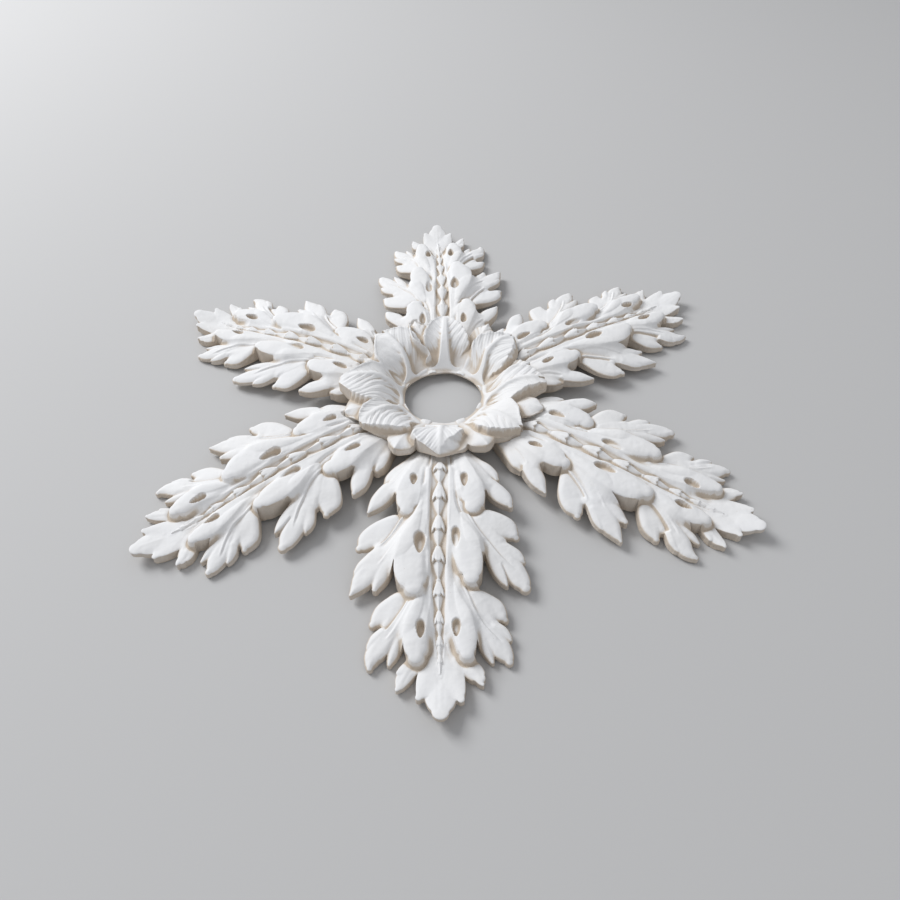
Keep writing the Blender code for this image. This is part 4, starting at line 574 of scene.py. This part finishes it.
def big_leaf(x, y, reach, droop, rib, bends, widths, flutes, spacings, pockets, n):
    """One large leaf of the ring, x along its midrib: rise, distance outside, ridges, and 0
    to 1 up the wall of a cut margin."""
    bend = soft(x, list(zip(BENDS_AT, bends)))
    left = y > bend
    edge = np.where(left, *(half_widths(x, reach, w) for w in widths))
    deep, spacing, pocket = (np.where(left, *pair) for pair in (flutes, spacings, pockets))
    side = np.abs(y - bend)
    room = np.maximum(np.where(left, edge - bend, edge + bend), 4)
    u = np.clip(side / room, 0, 1.3)
    ends = ramp(x, COLLAR, 8) * ramp(reach - 1 - x, 0, 12)
    wave = fluting(x, side, spacing, n)
    scallop = deep * (0.6 - wave) * ends * ramp(np.abs(y), 8, 6)
    out = np.maximum(np.abs(y) - edge + 0.5 * scallop, (x - reach) * 0.8)
    inner = edge
    for k, here in ((0, left), (1, ~left)):
        if (n, k) in CUTS:
            inner = np.where(here, half_widths(x, reach, CUTS[n, k]), inner)
    ragged = sum(size * np.sin(x / long + phase * n) for long, phase, size in RAGGED)
    top = ramp(edge - np.abs(y), 0, np.maximum(edge - inner - ragged + 0.7 * scallop, 1))
    cut = (edge > inner + 1) & (x > CUT_FROM)
    top = np.where(cut, top, 1)
    broad = np.maximum(rib * soft(x, RIB), soft(x, COLLAR_FLARE))
    flank = 1 - bump(np.maximum(side - broad, 0), FLANK)
    high = soft(x, DISH) - soft(x, POCKET) * pocket * flank + soft(x, MARGIN) * u**3 * pocket**0.5
    high -= droop * ramp(x, DROOPS, DROOP_OVER) ** 2
    line = bump(edge - np.abs(y) - RIM_LINE_IN, RIM_LINE_WIDE) * ends * ~cut
    fine = FINE_FLUTES * (fluting(x, side, spacing * FINE_SPACING, n + 0.5) - 0.5)
    ridges = (deep * (wave - 0.6) + fine) * flank * ends * top**4 + RIM_LINE * line
    return high, out, ridges, top


def small_leaf(x, y, reach, crest, fluted, wide, n):
    """One small pointed leaf seen between and behind the large ones."""
    xs = x + (SMALL_END - reach) * ramp(x, SMALL_FROM, reach - SMALL_FROM)
    side = np.abs(y + 2.0 * np.sin((xs - COLLAR) / 26))
    width = wide * soft(xs, SMALL_WIDTH)
    high = soft(xs, SMALL_DISH + tuple((at, crest + more) for at, more in SMALL_CROWN))
    high -= SMALL_SLOPE * np.clip(side / width, 0, 1.2) * np.clip((xs - COLLAR) / 15, 0.2, 1)
    wave = fluting(xs, side, SMALL_FLUTES, n)
    high += fluted * (wave - 0.6) * ramp(side, 0, 5) * ramp(xs, COLLAR, 8)
    return high, np.maximum(side - width, (xs - SMALL_END) * 0.8)


def ring_under(x, y):
    """Underside of the ring: a cone, raised in a saddle over each leaf's stem."""
    r = np.hypot(x, y)
    saddle = np.zeros(r.shape)
    for direction, _ in LEAF_LAID:
        lx, ly = turned(x, y, direction)
        saddle = np.maximum(saddle, np.where(lx > 0, np.exp(-((ly / SADDLE_HALF) ** 4)), 0))
    return soft(r, UNDER_CONE) + soft(r, UNDER_SADDLE) * saddle


def ring_face(x, y):
    """Front of the ring, and distance outside its outline."""
    r = np.hypot(x, y)
    high = soft(r, FLOOR_DISH)
    out = r - FLOOR_REACH
    foot = ring_under(x, y) + WALL_FOOT
    for n, (direction, *shape) in enumerate(SMALL_LEAVES):
        lx, ly = turned(x, y, direction)
        h, d = small_leaf(lx, ly, *shape, n)
        h = blend(high, h - 1.8 * np.maximum(d, 0))
        high = np.where(lx > 45, h, high)
        out = np.where(lx > 90, np.minimum(out, d), out)
    for n, (direction, *shape) in enumerate(BIG_LEAVES):
        lx, ly = turned(x, y, direction)
        h, d, ridges, top = big_leaf(lx, ly, *shape, n)
        h = foot + (h - foot) * top + ridges - FALL * np.maximum(d + 0.4, 0)
        high = np.where(lx > 40, blend(high, h, 1.2), high)
        out = np.where(lx > 90, np.minimum(out, d), out)
    curl, d = lobe(x, y, CURL_DOME, 2.0, 0, CURL)
    high = np.where(d < 4, blend(high, curl - 1.5 * np.maximum(d, 0), 1.0), high)
    high = np.maximum(high, ring_under(x, y) + RING_THIN)
    hx, hy = x - HOLE_X, (y - HOLE_Y) * HOLE_SQUASH
    r, turn = np.hypot(hx, hy), np.arctan2(hy, hx)
    hole = HOLE + sum(size * np.sin(n * turn + phase) for n, phase, size in HOLE_WAVES)
    return high, np.maximum(out, hole - r)


def laid(x, y, direction, slide):
    """From places on the leaf casting to places in the rose."""
    a = radians(direction)
    return (x + slide) * cos(a) - y * sin(a), (x + slide) * sin(a) + y * cos(a)


def ring_cap(x, y, direction, slide):
    """How high a laid leaf may reach where it passes under the ring."""
    gx, gy = laid(x, y, direction, slide)
    near = np.hypot(gx, gy) < RING_ASIDE + 15
    cap = np.full(x.shape, 1e3)
    _, d = ring_face(gx[near], gy[near])
    cap[near] = ring_under(gx[near], gy[near]) - CLEAR + 2.5 * np.maximum(d - 1.0, 0)
    return cap


def between(table, i, j, i1, j1, s, t):
    """A table read between two columns and two rows."""
    low = table[j, i] * (1 - s) + table[j, i1] * s
    top = table[j1, i] * (1 - s) + table[j1, i1] * s
    return low * (1 - t) + top * t


def noise(x, y, size, seed):
    """Smooth random relief, about -1 to 1, with bumps of the given size in mm."""
    n = NOISE_CELLS
    table = np.random.default_rng(seed).uniform(-1, 1, (n, n))
    u, v = x / size + 20, y / size + 20
    i, j = np.floor(u).astype(int), np.floor(v).astype(int)
    s, t = u - i, v - j
    s, t = s * s * (3 - 2 * s), t * t * (3 - 2 * t)
    return between(table.T, i % n, j % n, (i + 1) % n, (j + 1) % n, s, t)


def clipped_grid(x, y, out):
    """Points and triangles of a grid inside its outline, and the outline's edges."""
    inside = out < 0
    points = [np.stack([x[inside], y[inside]], -1)]
    total = int(inside.sum())
    corner = -np.ones(out.shape, int)
    corner[inside] = np.arange(total)
    cuts = []
    for a, b in ((np.s_[:, :-1], np.s_[:, 1:]), (np.s_[:-1], np.s_[1:])):
        cut = inside[a] != inside[b]
        t = np.clip(out[a][cut] / (out[a][cut] - out[b][cut]), 0.08, 0.92)
        px = x[a][cut] + t * (x[b][cut] - x[a][cut])
        py = y[a][cut] + t * (y[b][cut] - y[a][cut])
        ids = -np.ones(cut.shape, int)
        ids[cut] = total + np.arange(len(t))
        total += len(t)
        points.append(np.stack([px, py], -1))
        cuts.append(ids)
    across, along = cuts
    c = np.stack([corner[:-1, :-1], corner[:-1, 1:], corner[1:, 1:], corner[1:, :-1],
                  across[:-1, :], along[:, 1:], across[1:, :], along[:, :-1]], -1).reshape(-1, 8)
    code = sum((c[:, k] >= 0) * (1 << k) for k in range(4))
    faces, rim = [], []
    for kind in range(1, 15):
        cells = c[code == kind]
        for first in (k for k in range(4) if kind >> k & 1 and not kind >> (k - 1) % 4 & 1):
            p = [first]  # the corners inside, one after the other, then the cuts beside them
            while kind >> (p[-1] + 1) % 4 & 1:
                p.append((p[-1] + 1) % 4)
            p += [4 + p[-1], 4 + (first - 1) % 4]
            faces += [cells[:, [first, p[i], p[i + 1]]] for i in range(1, len(p) - 1)]
            rim.append(cells[:, p[-2:]])
    return np.vstack(points), c[code == 15][:, :4], np.vstack(faces), np.vstack(rim)


def split_quads(quads, z):
    """Quads cut along the diagonal that is closer to level."""
    first = np.abs(z[quads[:, 0]] - z[quads[:, 2]]) < np.abs(z[quads[:, 1]] - z[quads[:, 3]])
    a, b = quads[first], quads[~first]
    return np.vstack([a[:, [0, 1, 2]], a[:, [0, 2, 3]], b[:, [1, 2, 3]], b[:, [1, 3, 0]]])


def blurred(field, mask, sigma):
    """Mean of the field near each point, within the mask."""
    n = int(3 * sigma) + 1
    kernel = np.exp(-0.5 * (np.arange(-n, n + 1) / sigma) ** 2)

    def spread(a):
        for axis in (0, 1):
            a = np.apply_along_axis(np.convolve, axis, a, kernel, "same")
        return a

    weight = spread(mask.astype(float))
    return spread(np.where(mask, field, 0)) / np.maximum(weight, 1e-6)


def shade_and_raw(high, mask, step):
    """How far each point lies in a hollow, 0 to 1: share of painted shade and raw plaster there."""
    deep = np.zeros(high.shape)
    for size, depth, share in HOLLOWS:
        d = (blurred(high, mask, size / step) - high) / depth
        deep += share * np.clip(d, *HOLLOW_LIMITS)
    return np.clip(deep, 0, 1)


def steepness(high, step):
    """0 on faces that lie back, 1 on steep ones."""
    gy, gx = np.gradient(np.clip(high, 0, HIGHEST), step)
    return ramp(np.hypot(gx, gy), STEEP_FROM, STEEP_OVER)


def sample(field, x, y, px, py):
    """Field on a grid read at any points."""
    step = x[0, 1] - x[0, 0]
    u = np.clip((px - x[0, 0]) / step, 0, x.shape[1] - 1.001)
    v = np.clip((py - y[0, 0]) / step, 0, x.shape[0] - 1.001)
    i, j = u.astype(int), v.astype(int)
    return between(field, i, j, i + 1, j + 1, u - i, v - j)


def casting(name, layout, top_z, low_z, raw_and_shaded, back_points, place, seed, hole_reach=0):
    """Closed mesh: carved top, rough cut walls, plain back, and a hole within hole_reach."""
    points, quads, faces, rim, outward = layout
    n = len(points)
    edge_ids = np.unique(rim)
    slot_of = -np.ones(n, int)
    slot_of[edge_ids] = np.arange(len(edge_ids))
    rim = slot_of[rim]
    m = len(edge_ids)
    tris = [faces, split_quads(quads, top_z)]
    verts = [np.column_stack([points, top_z])]
    tint = [raw_and_shaded]
    ex, ey = points[edge_ids].T
    ez, eb = top_z[edge_ids], low_z(ex, ey)
    above = edge_ids
    (lump, lump_high, lump_skew), (grit, grit_high, grit_skew) = WALL_ROUGH
    for k, share in enumerate(WALL_ROWS):
        z = ez + (eb - ez) * share
        rough = lump_high * noise(ex, ey + lump_skew * z, lump, seed + 1)
        rough += grit_high * noise(ex + grit_skew * z, ey, grit, seed + 2)
        shift = rough - WALL_INSET if share < 1 else np.zeros(m)
        px, py = ex + outward[0] * shift, ey + outward[1] * shift
        ids = n + k * m + np.arange(m)
        verts.append(np.column_stack([px, py, z]))
        # walls and backs take the tan tone, painted shade as well as raw plaster
        tint.append(np.full(m, WALL_RAW_AND_SHADE if share < 1 else BACK_RAW_AND_SHADE))
        a, b = above[rim[:, 0]], above[rim[:, 1]]
        c, d = ids[rim[:, 1]], ids[rim[:, 0]]
        tris += [np.column_stack([b, a, d]), np.column_stack([b, d, c])]
        above = ids
    first = n + len(WALL_ROWS) * m
    flat = [Vector(p) for p in np.vstack([np.column_stack([ex, ey]), back_points])]
    got = delaunay_2d_cdt(flat, [tuple(e) for e in rim], [], 2, 1e-7)
    if len(got[0]) != len(flat):
        raise ValueError("the outline crosses itself")
    low = np.array([[got[3][i][0] for i in f] for f in got[2]])
    spots = np.mean(np.array(flat)[low], axis=1)
    sides = np.column_stack([ex, ey])[rim]
    low = low[~within(spots, sides[np.hypot(*sides.mean(1).T) < hole_reach])]
    ids = np.concatenate([above, first + np.arange(len(back_points))])
    tris.append(ids[low][:, ::-1])
    bx, by = back_points.T
    verts.append(np.column_stack([back_points, low_z(bx, by)]))
    tint.append(np.full(len(back_points), BACK_RAW_AND_SHADE))
    verts, tris, tint = np.vstack(verts), np.vstack(tris), np.concatenate(tint)
    x, y = place(*verts[:, :2].T)
    verts = np.column_stack([x, y - ORIGIN_Y, verts[:, 2]]) * MM
    mesh = bpy.data.meshes.new(name)
    mesh.from_pydata(verts.tolist(), [], tris.tolist())
    mesh.validate()
    mesh.shade_smooth()
    mesh.set_sharp_from_angle(angle=radians(SHARP_ANGLE))
    # per point share of the tan tone: painted shade and raw plaster
    shade = mesh.attributes.new("shade_and_raw", "FLOAT", "POINT")
    shade.data.foreach_set("value", tint.astype(np.float32))
    return added(name, mesh)


def added(name, data):
    """A new object in the scene."""
    obj = bpy.data.objects.new(name, data)
    bpy.context.scene.collection.objects.link(obj)
    return obj


def within(spots, sides):
    """Which spots lie inside the loop that the sides make."""
    inside = np.zeros(len(spots), bool)
    for (ax, ay), (bx, by) in sides:
        if ay != by:
            spans = (ay > spots[:, 1]) != (by > spots[:, 1])
            inside ^= spans & (spots[:, 0] < ax + (spots[:, 1] - ay) * (bx - ax) / (by - ay))
    return inside


def grid(x0, x1, y0, y1, step):
    """Places of the points of a square grid."""
    return np.meshgrid(np.arange(x0, x1, step), np.arange(y0, y1, step))


def slope(face, px, py):
    """Direction in which the distance outside the outline grows."""
    e = 0.6
    gx = face(px + e, py)[1] - face(px - e, py)[1]
    gy = face(px, py + e)[1] - face(px, py - e)[1]
    size = np.maximum(np.hypot(gx, gy), 1e-6)
    return gx / size, gy / size


def eased(high, out):
    """Top with its edge rounded over."""
    t = np.clip(1 + out / EDGE_ROUND, 0, 1)
    return high - EDGE_ROUND * (1 - np.sqrt(1 - EDGE_TURN * t * t))


def cast_relief(x, y, seed):
    """Unevenness of hand-cast plaster."""
    return sum(high * noise(x, y, size, seed + k) for k, (size, high) in enumerate(CAST_RELIEF))


def plaster(name, seed):
    """White cast plaster: cool white where it is worn; warm tan in hollows and on walls, painted
    shade there as well as raw plaster.
    """
    m = bpy.data.materials.new(name)
    m.use_nodes = True
    nodes, links = m.node_tree.nodes, m.node_tree.links
    shader = nodes["Principled BSDF"]
    shader.inputs["Roughness"].default_value = ROUGHNESS
    shader.inputs["Specular IOR Level"].default_value = SPECULAR

    def node(kind, **values):
        n = nodes.new(kind)
        for key, value in values.items():
            if key in n.inputs:
                n.inputs[key].default_value = value
            else:
                setattr(n, key, value)
        return n

    def feed(n, inputs):
        for i, v in inputs:
            if isinstance(v, bpy.types.NodeSocket):
                links.new(v, n.inputs[i])
            else:
                n.inputs[i].default_value = v

    def math(operation, *values, clamp=False):
        n = node("ShaderNodeMath", operation=operation, use_clamp=clamp)
        feed(n, enumerate(values))
        return n.outputs[0]

    def mix(share, a, b):
        n = node("ShaderNodeMix", data_type="RGBA")
        feed(n, ((0, share), (6, a), (7, b)))
        return n.outputs[2]

    place = node("ShaderNodeTexCoord").outputs["Object"]
    shift = node("ShaderNodeMapping")
    shift.inputs["Location"].default_value = (*(v * seed for v in PATTERN_SHIFT), 0.0)
    links.new(place, shift.inputs["Vector"])
    place = shift.outputs["Vector"]

    def cloud(scale, detail):
        n = node("ShaderNodeTexNoise", Scale=scale, Detail=detail, Roughness=0.55)
        links.new(place, n.inputs["Vector"])
        return n.outputs["Fac"]

    # share of the tan tone at each point: painted shade in hollows, on walls and steep faces, as
    # well as raw plaster
    deep = node("ShaderNodeAttribute", attribute_name="shade_and_raw").outputs["Fac"]
    patches = cloud(*PATCHES)
    speckle = cloud(*SPECKS)
    grain = cloud(*GRAIN)
    raw_and_shaded = math("MULTIPLY_ADD", math("SUBTRACT", patches, 0.5), PATCH_SHIFT, deep)
    raw_and_shaded = math("MULTIPLY_ADD", math("SUBTRACT", speckle, 0.5), SPECK_SHIFT, raw_and_shaded, clamp=True)
    fade = node("ShaderNodeMapRange", interpolation_type="SMOOTHSTEP")
    fade.inputs["From Min"].default_value = RAW_SHADE_FROM
    fade.inputs["From Max"].default_value = RAW_SHADE_TO
    links.new(raw_and_shaded, fade.inputs["Value"])
    tone = mix(patches, *WORN_TONES)
    tone = mix(fade.outputs[0], tone, RAW_AND_SHADE_TONE)
    tone = mix(math("MULTIPLY", speckle, SPECK_TINT), tone, SPECK_TONE)
    cells = node("ShaderNodeTexVoronoi", Scale=PIT_SCALE)
    links.new(place, cells.inputs["Vector"])
    split = node("ShaderNodeSeparateColor")
    links.new(cells.outputs["Color"], split.inputs[0])
    chosen = math("GREATER_THAN", split.outputs[0], PIT_RARE)
    size = math("MULTIPLY_ADD", split.outputs[1], PIT_SIZE_RANGE, PIT_SIZE)
    pit = math("SUBTRACT", 1.0, math("DIVIDE", cells.outputs["Distance"], size), clamp=True)
    pit = math("MULTIPLY", pit, chosen)
    tone = mix(math("MULTIPLY", pit, PIT_TINT), tone, PIT_TONE)
    links.new(tone, shader.inputs["Base Color"])
    height = math("MULTIPLY_ADD", grain, GRAIN_BUMP, math("MULTIPLY", speckle, SPECK_BUMP))
    height = math("MULTIPLY_ADD", pit, PIT_BUMP, height)
    relief = node("ShaderNodeBump", Strength=BUMP_STRENGTH, Distance=BUMP_DEPTH)
    links.new(height, relief.inputs["Height"])
    links.new(relief.outputs[0], shader.inputs["Normal"])
    return m


def dress(obj, slot, seed):
    """Give a casting its plaster, and its place in the frame."""
    obj.data.materials.append(plaster(slot, seed))
    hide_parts(obj.name.removeprefix("fine_"))
    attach(obj, "root")


def surveyed(face, x, y):
    """A face on a grid: its layout, heights, distances outside, and shares of painted shade and raw
    plaster in hollows and on steep parts."""
    high, out = face(x, y)
    points, quads, faces, rim = clipped_grid(x, y, out)
    px, py = points.T
    h, d = face(px, py)
    hollow = sample(shade_and_raw(high, out < 0, GRID), x, y, px, py)
    steep = RAW_AND_SHADE_STEEP * sample(steepness(high, GRID), x, y, px, py)
    edge = points[np.unique(rim)]
    return (points, quads, faces, rim, slope(face, *edge.T)), h, d, hollow, steep


def back_points(face, x, y):
    """Those of the points that lie well inside the outline."""
    x, y = x.ravel(), y.ravel()
    keep = face(x, y)[1] < -BACK_INSET
    return np.column_stack([x[keep], y[keep]])


def build_ring():
    """The centre ring as one mesh."""
    x, y = grid(-RING_ASIDE, RING_ASIDE, -RING_ASIDE, RING_ASIDE, GRID)
    layout, h, d, hollow, steep = surveyed(ring_face, x, y)
    px, py = layout[0].T
    face_seed, wall_seed = RING_SEEDS
    top = eased(h, d) + cast_relief(px, py, face_seed)
    below = soft(np.hypot(px, py), DISH) - h
    # tan in hollows, pockets and on steep faces: painted shade as well as raw plaster
    raw_and_shaded = RING_RAW_AND_SHADE * np.clip(hollow + POCKET_RAW_AND_SHADE * ramp(below, POCKET_FROM, POCKET_OVER), 0, 1)
    raw_and_shaded = np.clip(raw_and_shaded + steep, 0, 1)
    r, t = np.meshgrid(np.arange(*RING_BACK, BACK_GRID), np.radians(np.arange(0, 360, BACK_TURN)))
    back = back_points(ring_face, r * np.cos(t), r * np.sin(t))
    return casting("fine_centre_ring", layout, top, ring_under, raw_and_shaded, back, lambda x, y: (x, y),
                   wall_seed, HOLE_REACH)


def build_leaves():
    """The leaf, laid once in each direction, every time with its own unevenness."""
    x, y = grid(LEAF_ROOT - 4, LEAF_END, -LEAF_ASIDE, LEAF_ASIDE, GRID)
    layout, h, d, hollow, steep = surveyed(leaf_face, x, y)
    px, py = layout[0].T
    face_seed, wall_seed = LEAF_SEEDS
    # tan in hollows, at the root under the ring and on steep faces: painted shade and shadow as
    # well as raw plaster
    raw_and_shaded = np.clip(hollow + ROOT_RAW_AND_SHADE * ramp(ROOT_SHADE_TO - px, 0, ROOT_SHADE_OVER), 0, 1)
    raw_and_shaded = np.clip(raw_and_shaded + steep, 0, 1)
    back = back_points(leaf_face, *grid(*LEAF_BACK, BACK_GRID))
    made = []
    for i, (direction, slide) in enumerate(LEAF_LAID):
        top = eased(h, d) + cast_relief(px, py, face_seed + LEAF_SEED_STEP * i)
        top = np.minimum(top, ring_cap(px, py, direction, slide))
        made.append(casting(f"fine_acanthus_leaf_{i + 1}", layout, top, leaf_back, raw_and_shaded, back,
                            lambda x, y: laid(x, y, direction, slide), wall_seed + i))
    return made


def studio():
    """Pale floor, soft light from the upper left, and the photograph's viewpoint."""
    mesh = bpy.data.meshes.new("floor")
    w = FLOOR_HALF
    mesh.from_pydata([(-w, -w, 0), (w, -w, 0), (w, w, 0), (-w, w, 0)], [], [(0, 1, 2, 3)])
    floor = added("floor", mesh)
    m = bpy.data.materials.new("floor")
    m.use_nodes = True
    shader = m.node_tree.nodes["Principled BSDF"]
    shader.inputs["Base Color"].default_value = FLOOR_TONE
    shader.inputs["Roughness"].default_value = FLOOR_ROUGH
    mesh.materials.append(m)
    for name, size, power, tint, place in LIGHTS:
        data = bpy.data.lights.new(name, "AREA")
        data.size, data.energy, data.color = size, power, tint
        light = added(name, data)
        light.location = place
        light.rotation_euler = Vector(place).to_track_quat("Z", "Y").to_euler()
    scene = bpy.context.scene
    scene.view_settings.view_transform = "Standard"
    scene.world = world = bpy.data.worlds.new("studio")
    world.use_nodes = True
    sky = world.node_tree.nodes["Background"]
    sky.inputs["Color"].default_value = SKY_TONE
    sky.inputs["Strength"].default_value = SKY_STRENGTH

    azimuth, elevation, roll = (radians(v) for v in VIEW)
    back = Vector((sin(azimuth) * cos(elevation), -cos(azimuth) * cos(elevation), sin(elevation)))
    spot = Vector((AIM_X, AIM_Y - ORIGIN_Y * MM, 0)) + back * DISTANCE
    right = (-back).cross(Vector((0, 0, 1))).normalized()
    up = right.cross(-back)
    right, up = right * cos(roll) + up * sin(roll), up * cos(roll) - right * sin(roll)
    lens = bpy.data.cameras.new("camera")
    lens.lens, lens.sensor_width, lens.clip_start = LENS, SENSOR, CLIP_START
    camera = added("camera", lens)
    camera.matrix_world = Matrix([(*v, p) for v, p in zip(zip(right, up, back), spot)]
                                 + [(0, 0, 0, 1)])
    scene.camera = camera


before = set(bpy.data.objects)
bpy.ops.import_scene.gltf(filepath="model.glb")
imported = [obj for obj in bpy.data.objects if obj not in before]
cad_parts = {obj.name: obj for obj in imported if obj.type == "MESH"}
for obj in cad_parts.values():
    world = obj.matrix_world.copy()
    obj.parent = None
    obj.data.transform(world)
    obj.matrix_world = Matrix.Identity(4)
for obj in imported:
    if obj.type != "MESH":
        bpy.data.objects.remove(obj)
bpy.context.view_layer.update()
dress(build_ring(), "ring_plaster", 1)
for i, leaf in enumerate(build_leaves()):
    dress(leaf, f"leaf_plaster_{i + 1}", i + 2)
studio()
